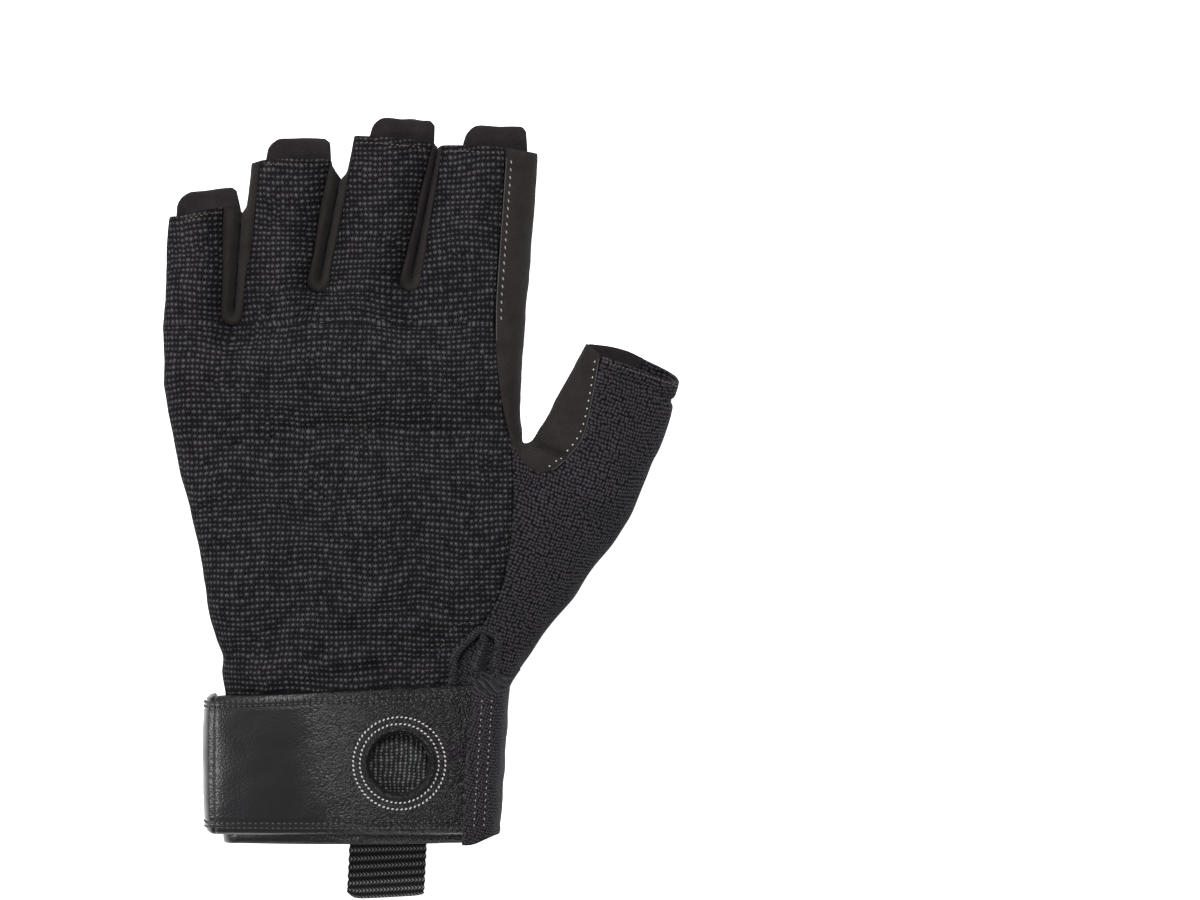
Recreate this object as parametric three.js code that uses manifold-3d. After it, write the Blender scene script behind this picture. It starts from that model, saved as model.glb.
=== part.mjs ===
// A left half-finger climbing glove lying palm down: back of the hand up, fingers along +Y, thumb at +X.
// Units are millimetres and Z is up. Every panel is a thin cut piece, sewn edge to edge to its neighbours.
import * as THREE from "three";
import { mergeVertices } from "three/addons/utils/BufferGeometryUtils.js";
import Module from "manifold-3d";

const wasm = await Module();
wasm.setup();

// Driving sizes of the hand, its fingers and its thumb.
const HAND_WIDTH = 93;
const HAND_LENGTH = 142;
const HAND_HEIGHT = 23;
const FINGER_LENGTH = 38.5;
const FINGER_HEIGHT = 14.5;
const FINGER_EDGE_HEIGHT = 9;
const SHOULDER_RISE = 2;
const THUMB_LENGTH = 34;
const THUMB_HEIGHT = 16;
const THUMB_SEAM_DROP = 2;

// How the skin of the hand turns: rolled sides, finger valleys, rounded crotches and the side seam.
const SIDE_ROLL = 6;
const SHOULDER_DROP = 3.2;
const VALLEY_DEPTH = 6.5;
const VALLEY_REACH = 18;
const CROTCH_RADIUS = 1.8;
const PALM_CROTCH_RADIUS = 1.1;
const TIP_ROLL = 4.2;
const WEB_RISE = 3;
const SEAM_HEIGHT = 3;
const SEAM_TUCK = 1.5;
const MIDDLE_SHARE = 0.45;

// Walls, from the thin stretch fabric to the thick leather.
const FABRIC_WALL = 1.3;
const SUEDE_WALL = 1.2;
const TERRY_WALL = 2;
const ELASTIC_WALL = 1.8;
const LEATHER_WALL = 2.2;
const TAPE_WALL = 1.1;
const WEBBING_WALL = 1.5;
const PATCH_WALL = 1;
const SEAM_GAP = 0.3;

// The wrist: slit in the back, elastic band, strap with its round hole, webbing loop and tape loops.
const SLIT_WIDTH = 11.3;
const PIPING_DIAMETER = 2;
const CUFF_HEIGHT = 19.4;
const CUFF_TAPER = 0.06;
const CUFF_OVERLAP = 8;
const CUFF_OVERLAP_DROP = 1;
const BAND_BOTTOM = 13.5;
const BAND_RISE = 4;
const BAND_CORNER = 0.1;
const FLAP_WIDTH = 8;
const FLAP_ROLL = 2;
const STRAP_BOTTOM = 2.6;
const STRAP_HEIGHT = 36.4;
const STRAP_REACH = 36.6;
const STRAP_CORNER = 4;
const STRAP_SIDE_DROP = 13;
const STRAP_TUCK = 2;
const HOLE_X = 14.2;
const HOLE_DIAMETER = 15;
const WEBBING_WIDTH = 20;
const WEBBING_X = 10.4;
const WEBBING_DROP = 14.3;
const WEBBING_START = 46.5;
const WEBBING_LOOP = 3.8;
const WEBBING_SEWN = 5;
const TAPE_WIDTH = 11;
const TAPE_DROP = 7.5;
const TAPE_SPREAD_SHARE = 0.188;
const TAPE_SEWN = 4;
const TAPE_LOOP = 4;
const TAB_REACH = 6;
const TAB_TUCK = 4;
const TAB_HEIGHT = 3.4;

// Colours that more than one piece has.
const SIDE_SUEDE_COLOR = 0x312d2e;
const PALM_SUEDE_COLOR = 0x2a2627;
const LEATHER_COLOR = 0x333034;

// The underside lies this far above the surface, clear of the patch sewn on below it.
const BASE = PATCH_WALL + SEAM_GAP;

// The strap's and the flap's outer faces, one over the other on the wrist.
const strapRise = CUFF_HEIGHT + SEAM_GAP + LEATHER_WALL;
const flapTop = strapRise + ELASTIC_WALL;

// Sections across the hand, from the strap's upper edge to the finger crotches.
// along is a share of HAND_LENGTH, top of HAND_HEIGHT, and the rest are shares of HAND_WIDTH:
// side is the little finger's outline, line1 and line2 run to the crotches, seam is the back's inner edge
// and palm is the palm's inner edge. The third line to a crotch runs straight at INDEX_LINE.
const SECTIONS = [
  { along: 0.274, top: 0.83, side: -0.332, line1: -0.153, line2: 0.012, seam: 0.29, palm: 0.02 },
  { along: 0.344, top: 0.84, side: -0.35, line1: -0.168, line2: 0.005, seam: 0.296, palm: 0.073 },
  { along: 0.384, top: 0.86, side: -0.362, line1: -0.18, line2: 0, seam: 0.37, palm: 0.117 },
  { along: 0.445, top: 0.88, side: -0.381, line1: -0.195, line2: -0.009, seam: 0.428, palm: 0.18 },
  { along: 0.507, top: 0.9, side: -0.395, line1: -0.21, line2: -0.016, seam: 0.447, palm: 0.241 },
  { along: 0.562, top: 0.92, side: -0.412, line1: -0.224, line2: -0.023, seam: 0.458, palm: 0.296 },
  { along: 0.62, top: 0.93, side: -0.431, line1: -0.238, line2: -0.03, seam: 0.464, palm: 0.345 },
  { along: 0.676, top: 0.93, side: -0.453, line1: -0.252, line2: -0.037, seam: 0.461, palm: 0.395 },
  { along: 0.721, top: 0.92, side: -0.469, line1: -0.263, line2: -0.042, seam: 0.458, palm: 0.5 },
  { along: 0.743, top: 0.885, side: -0.476, line1: -0.268, line2: -0.045, seam: 0.447, palm: 0.48 },
  { along: 0.795, top: 0.98, side: -0.489, line1: -0.281, line2: -0.051, seam: 0.431, palm: 0.48 },
  { along: 0.853, top: 1, side: -0.497, line1: -0.295, line2: -0.058, seam: 0.42, palm: 0.483 },
  { along: 0.909, top: 0.95, side: -0.5, line1: -0.309, line2: -0.065, seam: 0.414, palm: 0.489 },
  { along: 0.934, top: 0.88, side: -0.5, line1: -0.315, line2: -0.068, seam: 0.414, palm: 0.491 },
  { along: 0.972, top: 0.87, side: -0.497, line1: -0.315, line2: -0.073, seam: 0.414, palm: 0.497 },
  { along: 0.993, top: 0.85, side: -0.494, line1: -0.315, line2: -0.076, seam: 0.417, palm: 0.5 },
];
const INDEX_LINE = 0.178;
const SLIT_SECTION = 2;
const THUMB_SECTION = 8;
const LITTLE_CROTCH = 13;
const OTHER_CROTCH = 15;

// The fingers' ends. x is a share of HAND_WIDTH, y a share of FINGER_LENGTH past the hand, tab a share
// of the opening's width.
const FINGERS = [
  { name: "pinky", backLeft: [-0.483, 0.454], backRight: [-0.337, 0.521],
    palmLeft: [-0.467, 0.441], palmRight: [-0.29, 0.501], tab: [0.13, 0.82] },
  { name: "ring", backLeft: [-0.238, 0.827], backRight: [-0.043, 0.84],
    palmLeft: [-0.255, 0.813], palmRight: [-0.012, 0.734], tab: [0.17, 0.9] },
  { name: "middle", backLeft: [0.026, 0.993], backRight: [0.241, 0.953],
    palmLeft: [0.02, 0.973], palmRight: [0.248, 0.933], tab: [0.22, 0.96] },
  { name: "index", backLeft: [0.263, 0.94], backRight: [0.442, 0.906],
    palmLeft: [0.256, 0.926], palmRight: [0.513, 0.86], tab: [0.27, 0.93] },
];
const PALM_SHARES = [0, 0.185, 0.425, 0.677, 1];

// The thumb's root. A row belongs to each section of the hand below the thumb's crotch, in the same shares:
// outer is the outline and under is the seam on the underside.
const THUMB_ROOT = [
  { outer: [0.45, 0.279], under: [0.175, 0.344] },
  { outer: [0.519, 0.346], under: [0.205, 0.373] },
  { outer: [0.566, 0.391], under: [0.241, 0.406] },
  { outer: [0.632, 0.451], under: [0.288, 0.451] },
  { outer: [0.701, 0.507], under: [0.348, 0.505] },
  { outer: [0.756, 0.552], under: [0.425, 0.55] },
  { outer: [0.789, 0.593], under: [0.494, 0.581] },
  { outer: [0.82, 0.639], under: [0.549, 0.602] },
];

// The thumb's inner side, in shares of THUMB_LENGTH from its crotch: seam is the stitched seam on top, inner
// the outline and palm the seam below.
const THUMB_INNER = [
  { seam: [-0.008, -0.166], inner: [0.02, 0], palm: [0.05, -0.05] },
  { seam: [0.151, -0.233], inner: [0.075, 0.083], palm: [0.1, 0.03] },
  { seam: [0.324, -0.105], inner: [0.151, 0.203], palm: [0.18, 0.15] },
  { seam: [0.429, 0.05], inner: [0.241, 0.376], palm: [0.265, 0.3] },
  { seam: [0.489, 0.3], inner: [0.339, 0.55], palm: [0.35, 0.48] },
  { seam: [0.55, 0.655], inner: [0.444, 0.745], palm: [0.47, 0.745] },
];

// The thumb's outer side in the same shares, a row for each row of its inner side but the first.
const THUMB_OUTER = [
  { outer: [0.941, -0.158], under: [0.437, -0.279] },
  { outer: [0.986, -0.068], under: [0.542, -0.128] },
  { outer: [1.039, 0.068], under: [0.648, 0.068] },
  { outer: [1.099, 0.279], under: [0.753, 0.309] },
  { outer: [1.152, 0.429], under: [0.881, 0.632] },
];

// The outline of the patch under the index finger's root, in shares of HAND_WIDTH and HAND_LENGTH.
const PATCH = [
  [0.44, 0.975], [0.33, 0.955], [0.22, 0.9], [0.13, 0.835], [0.095, 0.765], [0.12, 0.705], [0.19, 0.675],
  [0.3, 0.665], [0.38, 0.69], [0.425, 0.74], [0.44, 0.8], [0.445, 0.9],
];

// The piping round the slit, in shares of the slit's width and of its height above the strap.
const PIPING = [
  [0.04, -0.25], [0.03, 0.35], [0.13, 0.72], [0.42, 1.03], [0.76, 1.03], [0.95, 0.7], [1, -0.25],
];

// The strap's bends from its free end: a share of its reach past the middle, a share of its drop.
const STRAP_BENDS = [[0, 1], [0.011, 0.731], [0.082, 0.346], [0.246, 0.123], [0.546, 0.031], [1, 0]];

// The gusset's gathers across the slit, in millimetres above its edge.
const GUSSET_WAVES = [-3.4, -2.8, -1.2, -2.6, -0.2, -2.2, -3.4];

const FINGER_STEPS = 4;
const STRIP_STEPS = 4;
const ROLL_STEPS = 3;

const lerp = THREE.MathUtils.lerp;
const smooth = (value) => THREE.MathUtils.smoothstep(value, 0, 1);
const point = (x, y, z) => new THREE.Vector3(x, y, z);
const steps = (count) => Array.from({ length: count + 1 }, (_, index) => index / count);

// Corners that fall on the same place are one corner, so strips laid side by side grow into one sheet.
function newSheet(name, wall, color, roughness) {
  return { name, wall, color, roughness, corners: [], faces: [], seen: new Map() };
}

function corner(sheet, place) {
  const key = place.toArray().map((value) => Math.round(value * 2000)).join(" ");
  if (!sheet.seen.has(key)) {
    sheet.seen.set(key, sheet.corners.length);
    sheet.corners.push(place.clone());
  }
  return sheet.seen.get(key);
}

// Adds a grid of points, row by row. Its outside is the columns' direction crossed with the rows'.
function addGrid(sheet, rows, turned = false) {
  for (let row = 0; row + 1 < rows.length; row += 1) {
    for (let column = 0; column + 1 < rows[row].length; column += 1) {
      const near = [rows[row][column], rows[row][column + 1]];
      const far = [rows[row + 1][column], rows[row + 1][column + 1]];
      const [a, b, c, d] = [near[0], near[1], far[1], far[0]].map((place) => corner(sheet, place));
      for (const face of [[a, b, c], [a, c, d]]) {
        if (new Set(face).size === 3) sheet.faces.push(turned ? face.toReversed() : face);
      }
    }
  }
}

function faceNormal(sheet, face) {
  const [a, b, c] = face.map((index) => sheet.corners[index]);
  return b.clone().sub(a).cross(c.clone().sub(a)).normalize();
}

// The edges that only one face has, each with its face's normal.
function rimOf(sheet) {
  const edges = new Map();
  for (const face of sheet.faces) {
    const normal = faceNormal(sheet, face);
    face.forEach((from, index) => {
      const to = face[(index + 1) % 3];
      const twin = `${to} ${from}`;
      if (edges.has(twin)) edges.delete(twin);
      else edges.set(`${from} ${to}`, { from, to, normal });
    });
  }
  return [...edges.values()];
}

// The mean outward direction of the faces at each corner of a sheet.
function ownNormals(sheet) {
  const normals = sheet.corners.map(() => point(0, 0, 0));
  for (const face of sheet.faces) {
    const normal = faceNormal(sheet, face);
    for (const index of face) normals[index].add(normal);
  }
  return normals.map((normal) => normal.normalize());
}

// Another sheet's outward direction at a place on its edge, or nothing where its edge doesn't pass.
function directionAt(other, place) {
  const sum = point(0, 0, 0);
  const nearest = point(0, 0, 0);
  for (const { from, to } of other.rim) {
    const line = new THREE.Line3(other.corners[from], other.corners[to]);
    const part = line.closestPointToPointParameter(place, true);
    line.at(part, nearest);
    if (nearest.distanceTo(place) > SEAM_GAP) continue;
    sum.addScaledVector(other.normals[from], 1 - part).addScaledVector(other.normals[to], part);
  }
  return sum.normalize();
}

// Where a sheet is sewn to another one, both sheets count alike, so that the two rims face each other.
function cornerNormals(sheet, others) {
  const normals = ownNormals(sheet);
  for (const index of new Set(sheet.rim.map((edge) => edge.from))) {
    for (const other of others) normals[index].add(directionAt(other, sheet.corners[index]));
    normals[index].normalize();
  }
  return normals;
}

// Draws each free or sewn edge back by half a gap, along the sheet.
function drawBack(sheet) {
  const inward = new Map();
  for (const edge of sheet.rim) {
    const run = sheet.corners[edge.to].clone().sub(sheet.corners[edge.from]);
    const way = edge.normal.clone().cross(run).normalize();
    for (const index of [edge.from, edge.to]) {
      inward.set(index, [...(inward.get(index) ?? []), way]);
    }
  }
  return sheet.corners.map((place, index) => {
    const ways = inward.get(index);
    if (!ways) return place.clone();
    const sum = ways.reduce((total, way) => total.add(way), point(0, 0, 0));
    const turn = 1 + ways[0].dot(ways.at(-1));
    return place.clone().addScaledVector(sum, SEAM_GAP / 2 / Math.max(turn, 0.6));
  });
}

// Gives a sheet its wall: the skin, the same skin moved inwards, and a rim between them.
function thicken(sheet, others = []) {
  sheet.rim = sheet.rim ?? rimOf(sheet);
  const normals = cornerNormals(sheet, others);
  const outside = drawBack(sheet);
  const lean = sheet.corners.map(() => [0, 0]);
  for (const face of sheet.faces) {
    const normal = faceNormal(sheet, face);
    for (const index of face) {
      lean[index][0] += normal.dot(normals[index]);
      lean[index][1] += 1;
    }
  }
  const inside = outside.map((place, index) => {
    const share = Math.max(lean[index][0] / lean[index][1], 0.75);
    return place.clone().addScaledVector(normals[index], -sheet.wall / share);
  });
  const count = outside.length;
  const faces = [...sheet.faces];
  for (const [a, b, c] of sheet.faces) faces.push([a + count, c + count, b + count]);
  for (const { from, to } of sheet.rim) {
    faces.push([to, from, from + count]);
    faces.push([to, from + count, to + count]);
  }
  return toGeometry([...outside, ...inside], faces);
}

function toGeometry(corners, faces) {
  const geometry = new THREE.BufferGeometry();
  const places = corners.flatMap((place) => place.toArray());
  geometry.setAttribute("position", new THREE.Float32BufferAttribute(places, 3));
  geometry.setIndex(faces.flat());
  geometry.computeVertexNormals();
  return geometry;
}

// A smooth turn from one seam, round the widest line, to another seam: two arcs that meet upright.
function roll(upper, widest, lower, upperSteps = ROLL_STEPS) {
  const above = new THREE.QuadraticBezierCurve3(upper, point(widest.x, widest.y, upper.z), widest);
  const below = new THREE.QuadraticBezierCurve3(widest, point(widest.x, widest.y, lower.z), lower);
  return [...above.getPoints(upperSteps), ...below.getPoints(ROLL_STEPS).slice(1)];
}

// A column of the hand's table at any distance along the hand.
function section(column, y) {
  const size = column === "top" ? HAND_HEIGHT : HAND_WIDTH;
  const share = y / HAND_LENGTH;
  const found = SECTIONS.findIndex((row) => row.along > share);
  const next = found < 0 ? SECTIONS.length - 1 : Math.max(found, 1);
  const [low, high] = [SECTIONS[next - 1], SECTIONS[next]];
  const part = THREE.MathUtils.clamp((share - low.along) / (high.along - low.along), 0, 1);
  if (column === "line3") return size * INDEX_LINE;
  return size * lerp(low[column], high[column], part);
}

const alongHand = (row) => SECTIONS[row].along * HAND_LENGTH;
const littleCrotch = alongHand(LITTLE_CROTCH);
const otherCrotch = alongHand(OTHER_CROTCH);
const thumbCrotch = alongHand(THUMB_SECTION);
const CROTCHES = [Infinity, littleCrotch, otherCrotch, otherCrotch, Infinity];
const LINES = ["side", "line1", "line2", "line3", "seam"];

function fingerEnd([x, y]) {
  return { x: x * HAND_WIDTH, y: HAND_LENGTH + y * FINGER_LENGTH };
}

// Height of the back of the hand: highest in the middle, lower at both shoulders.
function backHeight(x, y) {
  const left = section("side", y) + SIDE_ROLL;
  const right = section("seam", y);
  const middle = (left + right) / 2;
  const offset = THREE.MathUtils.clamp(Math.abs((x - middle) / (right - middle)), 0, 1);
  return section("top", y) - SHOULDER_DROP * offset ** 2.5;
}

// How far the back sinks between two fingers as it nears their crotch.
function valley(line, y) {
  return VALLEY_DEPTH * smooth(1 - (CROTCHES[line] - y) / VALLEY_REACH);
}

// The outline on the little finger's side and, on the index finger's side, the side strip's outline.
function outlineX(right, y) {
  const finger = FINGERS[right ? 3 : 0];
  const column = right ? "palm" : "side";
  const end = fingerEnd(right ? finger.palmRight : finger.backLeft);
  const root = right ? otherCrotch : littleCrotch;
  const reach = right ? end.x + SEAM_TUCK : end.x;
  if (y <= root) return section(column, y);
  return lerp(section(column, root), reach, (y - root) / (end.y - root));
}

// The back's edge or shared line number line, beside finger number finger, at y. Past its crotch a shared
// line becomes two open edges with the rounded crotch between them.
function backEdge(finger, line, y) {
  const isRight = line > finger;
  const end = fingerEnd(isRight ? FINGERS[finger].backRight : FINGERS[finger].backLeft);
  const root = Math.min(CROTCHES[line], line === 0 ? littleCrotch : otherCrotch);
  const inset = line === 0 ? SIDE_ROLL : 0;
  const rootX = section(LINES[line], root) + inset;
  const rootZ = backHeight(rootX, root) - (inset || line === 4 ? 0 : VALLEY_DEPTH);
  if (y <= root) {
    const x = section(LINES[line], y) + inset;
    return point(x, y, backHeight(x, y) - valley(line, y));
  }
  const opening = CROTCHES[line] === Infinity ? 0 : CROTCH_RADIUS;
  const startX = rootX + (isRight ? -opening : opening);
  const part = THREE.MathUtils.clamp((y - root - opening) / (end.y - root - opening), 0, 1);
  const endX = end.x + (line === 0 ? TIP_ROLL : 0);
  const endZ = FINGER_EDGE_HEIGHT + (line === 0 || line === 4 ? SHOULDER_RISE : 0);
  return point(lerp(startX, endX, part), y, lerp(rootZ, endZ, (y - root) / (end.y - root)));
}

// The distances along one finger's strip at which it has a row, on its left and on its right edge.
function fingerRows(finger, left, right) {
  const root = finger === 0 ? littleCrotch : otherCrotch;
  const rows = SECTIONS.map((row) => row.along * HAND_LENGTH);
  rows.push(littleCrotch + CROTCH_RADIUS);
  const shared = rows.filter((y) => y <= root).sort((a, b) => a - b);
  const opening = root + CROTCH_RADIUS;
  const own = steps(FINGER_STEPS).map((part) => [lerp(opening, left.y, part), lerp(opening, right.y, part)]);
  return [...shared.map((y) => [y, y]), ...own];
}

// One row of points over a finger's back, arched between its two edges.
function arch(left, right, height, count = STRIP_STEPS) {
  return steps(count).map((share) => {
    const place = left.clone().lerp(right, share);
    const middle = (left.z + right.z) / 2;
    place.z += (height - middle) * (1 - Math.abs(2 * share - 1) ** 2.4);
    return place;
  });
}

function backStrip(finger) {
  const left = fingerEnd(FINGERS[finger].backLeft);
  const right = fingerEnd(FINGERS[finger].backRight);
  const root = finger === 0 ? littleCrotch : otherCrotch;
  return fingerRows(finger, left, right).map(([leftY, rightY]) => {
    const start = backEdge(finger, finger, leftY);
    const end = backEdge(finger, finger + 1, rightY);
    const middle = (leftY + rightY) / 2;
    const rootHeight = backHeight((start.x + end.x) / 2, Math.min(middle, root));
    const part = THREE.MathUtils.clamp((middle - root) / (left.y - root), 0, 1);
    return arch(start, end, lerp(rootHeight, FINGER_HEIGHT, part));
  });
}

// From the little finger's shoulder round the outline to the seam with the palm.
function sideRow(shoulder) {
  const x = outlineX(false, shoulder.y);
  const widest = point(x, shoulder.y, shoulder.z * MIDDLE_SHARE);
  return roll(shoulder, widest, point(x + SEAM_TUCK, shoulder.y, SEAM_HEIGHT)).toReversed();
}

const backStrips = FINGERS.map((_, finger) => backStrip(finger));

function backPanel() {
  const sheet = newSheet("back_panel", FABRIC_WALL, 0x272528, 0.95);
  addGrid(sheet, backStrips[0].map((row) => sideRow(row[0])));
  for (const strip of backStrips) addGrid(sheet, strip);
  return sheet;
}

// The palm's crotches lie further out than the back's, so its rows are shifted on their way there.
function palmShift(y, end) {
  const start = alongHand(THUMB_SECTION + 2);
  const grown = smooth((y - start) / (littleCrotch - start));
  const spent = THREE.MathUtils.clamp((end - y) / (end - otherCrotch), 0, 1);
  return y + WEB_RISE * grown * spent;
}

const palmLine = (line, y) => lerp(outlineX(false, y) + SEAM_TUCK, palmInnerX(y), PALM_SHARES[line]);

// The palm's edge on the thumb's side: a seam on the underside up to the thumb's crotch, then the side seam.
function palmInnerX(y) {
  return outlineX(true, y) - (y > alongHand(THUMB_SECTION) - 1 ? SEAM_TUCK : 0);
}

function palmEdge(finger, line, y) {
  const isRight = line > finger;
  const end = fingerEnd(isRight ? FINGERS[finger].palmRight : FINGERS[finger].palmLeft);
  if (line === 0) return point(outlineX(false, y) + SEAM_TUCK, y, SEAM_HEIGHT);
  if (line === 4) return point(palmInnerX(y), y, y > thumbCrotch - 1 ? SEAM_HEIGHT : BASE);
  const root = CROTCHES[line] + WEB_RISE;
  const rise = (SEAM_HEIGHT - BASE) * smooth(1 - (root - y) / VALLEY_REACH);
  if (y <= root) return point(palmLine(line, y), y, BASE + rise);
  const startX = palmLine(line, root) + (isRight ? -PALM_CROTCH_RADIUS : PALM_CROTCH_RADIUS);
  const part = THREE.MathUtils.clamp((y - root - CROTCH_RADIUS) / (end.y - root - CROTCH_RADIUS), 0, 1);
  return point(lerp(startX, end.x, part), y, SEAM_HEIGHT);
}

function palmStrip(finger) {
  const left = fingerEnd(FINGERS[finger].palmLeft);
  const right = fingerEnd(FINGERS[finger].palmRight);
  const backLeft = fingerEnd(FINGERS[finger].backLeft);
  const backRight = fingerEnd(FINGERS[finger].backRight);
  const root = finger === 0 ? littleCrotch : otherCrotch;
  return fingerRows(finger, backLeft, backRight).slice(1).map(([leftY, rightY]) => {
    const part = THREE.MathUtils.clamp((leftY - root) / (backLeft.y - root), 0, 1);
    const start = palmEdge(finger, finger, palmShift(leftY, left.y) + (left.y - backLeft.y) * part);
    const end = palmEdge(finger, finger + 1, palmShift(rightY, right.y) + (right.y - backRight.y) * part);
    return steps(STRIP_STEPS).map((share) => {
      const place = start.clone().lerp(end, share);
      const floor = BASE * (1 - smooth(part * 2));
      place.z = lerp(floor, place.z, Math.abs(2 * share - 1) ** 3);
      return place;
    });
  });
}

const palmStrips = FINGERS.map((_, finger) => palmStrip(finger));

function palmPanel() {
  const sheet = newSheet("palm_panel", SUEDE_WALL, PALM_SUEDE_COLOR, 0.97);
  for (const strip of palmStrips) addGrid(sheet, strip, true);
  return sheet;
}

// The rim of a crotch: down the left finger's edge from its tip, round the crotch and up the right finger's.
function crotchEdge(strips, left, root) {
  const down = strips[left].map((row) => row.at(-1)).toReversed();
  const up = strips[left + 1].map((row) => row[0]);
  const open = (place) => place.y > root + 0.01;
  const bottom = up.filter((place) => !open(place)).at(-1);
  return [...down.filter(open), bottom, ...up.filter(open)];
}

// The narrow suede strip that joins the back's edge to the palm's edge all the way round one crotch.
function fourchette(left) {
  const name = `fourchette_${FINGERS[left].name}_${FINGERS[left + 1].name}`;
  const sheet = newSheet(name, SUEDE_WALL, SIDE_SUEDE_COLOR, 0.97);
  const upper = crotchEdge(backStrips, left, CROTCHES[left + 1]);
  const lower = crotchEdge(palmStrips, left, CROTCHES[left + 1] + WEB_RISE);
  const rows = upper.map((place, index) => steps(2).map((share) => place.clone().lerp(lower[index], share)));
  addGrid(sheet, rows, true);
  return sheet;
}

const thumbRoot = point(section("palm", thumbCrotch), thumbCrotch, 0);

// A place in the thumb's table, with its height.
function onThumb([x, y], z) {
  return point(thumbRoot.x + x * THUMB_LENGTH, thumbRoot.y + y * THUMB_LENGTH, z);
}

const seamAtCrotch = backEdge(3, 4, thumbCrotch);
const thumbSeams = THUMB_INNER.map(({ seam }, index) => {
  const part = smooth((index + 1) / THUMB_INNER.length);
  return onThumb(seam, lerp(seamAtCrotch.z, THUMB_HEIGHT - THUMB_SEAM_DROP, part));
});
const thumbPalms = THUMB_INNER.map(({ palm }) => onThumb(palm, SEAM_HEIGHT));

// One suede strip runs down the index finger's side, round the thumb's crotch and up the thumb.
function sideStrip() {
  const sheet = newSheet("side_strip_index_thumb", SUEDE_WALL, SIDE_SUEDE_COLOR, 0.97);
  const uppers = backStrips[3].map((row) => row.at(-1)).filter((place) => place.y > thumbCrotch - 0.01);
  const lowers = palmStrips[3].map((row) => row.at(-1)).filter((place) => place.y > thumbCrotch - 0.01);
  const hand = uppers.map((upper, index) => {
    const lower = lowers[index];
    const widest = point(lower.x + SEAM_TUCK, (upper.y + lower.y) / 2, upper.z * MIDDLE_SHARE);
    return roll(upper, widest, lower);
  });
  const thumb = THUMB_INNER.map(({ inner }, index) => {
    const upper = thumbSeams[index];
    return roll(upper, onThumb(inner, upper.z * MIDDLE_SHARE), thumbPalms[index]);
  });
  addGrid(sheet, [...hand.toReversed(), ...thumb], true);
  return sheet;
}

const rootUnders = THUMB_ROOT.map(({ under }) => point(under[0] * HAND_WIDTH, under[1] * HAND_LENGTH, BASE));
const thumbUnders = THUMB_OUTER.map(({ under }, index) => {
  return onThumb(under, BASE * (1 - (index + 1) / THUMB_OUTER.length));
});

// The knit panel over the thumb's back, from the slit round the outline to the seam on the underside.
function thumbTerry() {
  const sheet = newSheet("thumb_terry", TERRY_WALL, 0x26242b, 1);
  const seams = SECTIONS.slice(0, THUMB_SECTION + 1).map((row, index) => {
    const place = backEdge(3, 4, alongHand(index));
    place.x += index < SLIT_SECTION ? SLIT_WIDTH : 0;
    return place;
  });
  const turning = seams[THUMB_SECTION - 2].clone().lerp(thumbSeams[1], 0.5);
  const root = THUMB_ROOT.map(({ outer }, index) => {
    const upper = index === THUMB_SECTION - 1 ? turning : seams[index];
    const widest = point(outer[0] * HAND_WIDTH, outer[1] * HAND_LENGTH, upper.z * MIDDLE_SHARE);
    return roll(upper, widest, rootUnders[index], ROLL_STEPS + 1);
  });
  const thumb = THUMB_OUTER.map(({ outer }, index) => {
    const upper = thumbSeams[index + 1];
    return roll(upper, onThumb(outer, upper.z * MIDDLE_SHARE), thumbUnders[index], ROLL_STEPS + 1);
  });
  addGrid(sheet, [...root, ...thumb]);
  const [low, middle, high] = seams.slice(THUMB_SECTION - 2);
  addGrid(sheet, [[low, turning], [middle, thumbSeams[1]], [high, thumbSeams[0]]]);
  return sheet;
}

// The suede under the thumb and its root, between the palm and the knit panel.
function thumbPalm() {
  const sheet = newSheet("thumb_palm", SUEDE_WALL, PALM_SUEDE_COLOR, 0.97);
  const hand = palmStrips[3].map((row) => row.at(-1)).filter((place) => place.y < thumbCrotch + 0.01);
  const lefts = [...hand, ...thumbPalms];
  const halfway = rootUnders.at(-1).clone().lerp(thumbUnders[0], 0.5);
  const rights = [...rootUnders, halfway, ...thumbUnders];
  addGrid(sheet, lefts.map((left, index) => {
    return steps(3).map((share) => {
      const place = left.clone().lerp(rights[index], share);
      place.z = lerp(left.z, rights[index].z, Math.min(1, share * 1.5));
      return place;
    });
  }), true);
  return sheet;
}

// A tape or a tab folded on itself: out along its lower leaf, round the fold and back along the upper one.
// Each pair is a distance outwards and a height.
function foldedPath(start, reach, thickness, end) {
  const radius = thickness / 2;
  const bend = steps(4).map((share) => {
    const angle = Math.PI * (share - 0.5);
    return [reach - radius + radius * Math.cos(angle), radius + radius * Math.sin(angle)];
  });
  return [[start, 0], [(start + reach) / 2, 0], ...bend, [end, thickness]];
}

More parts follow.
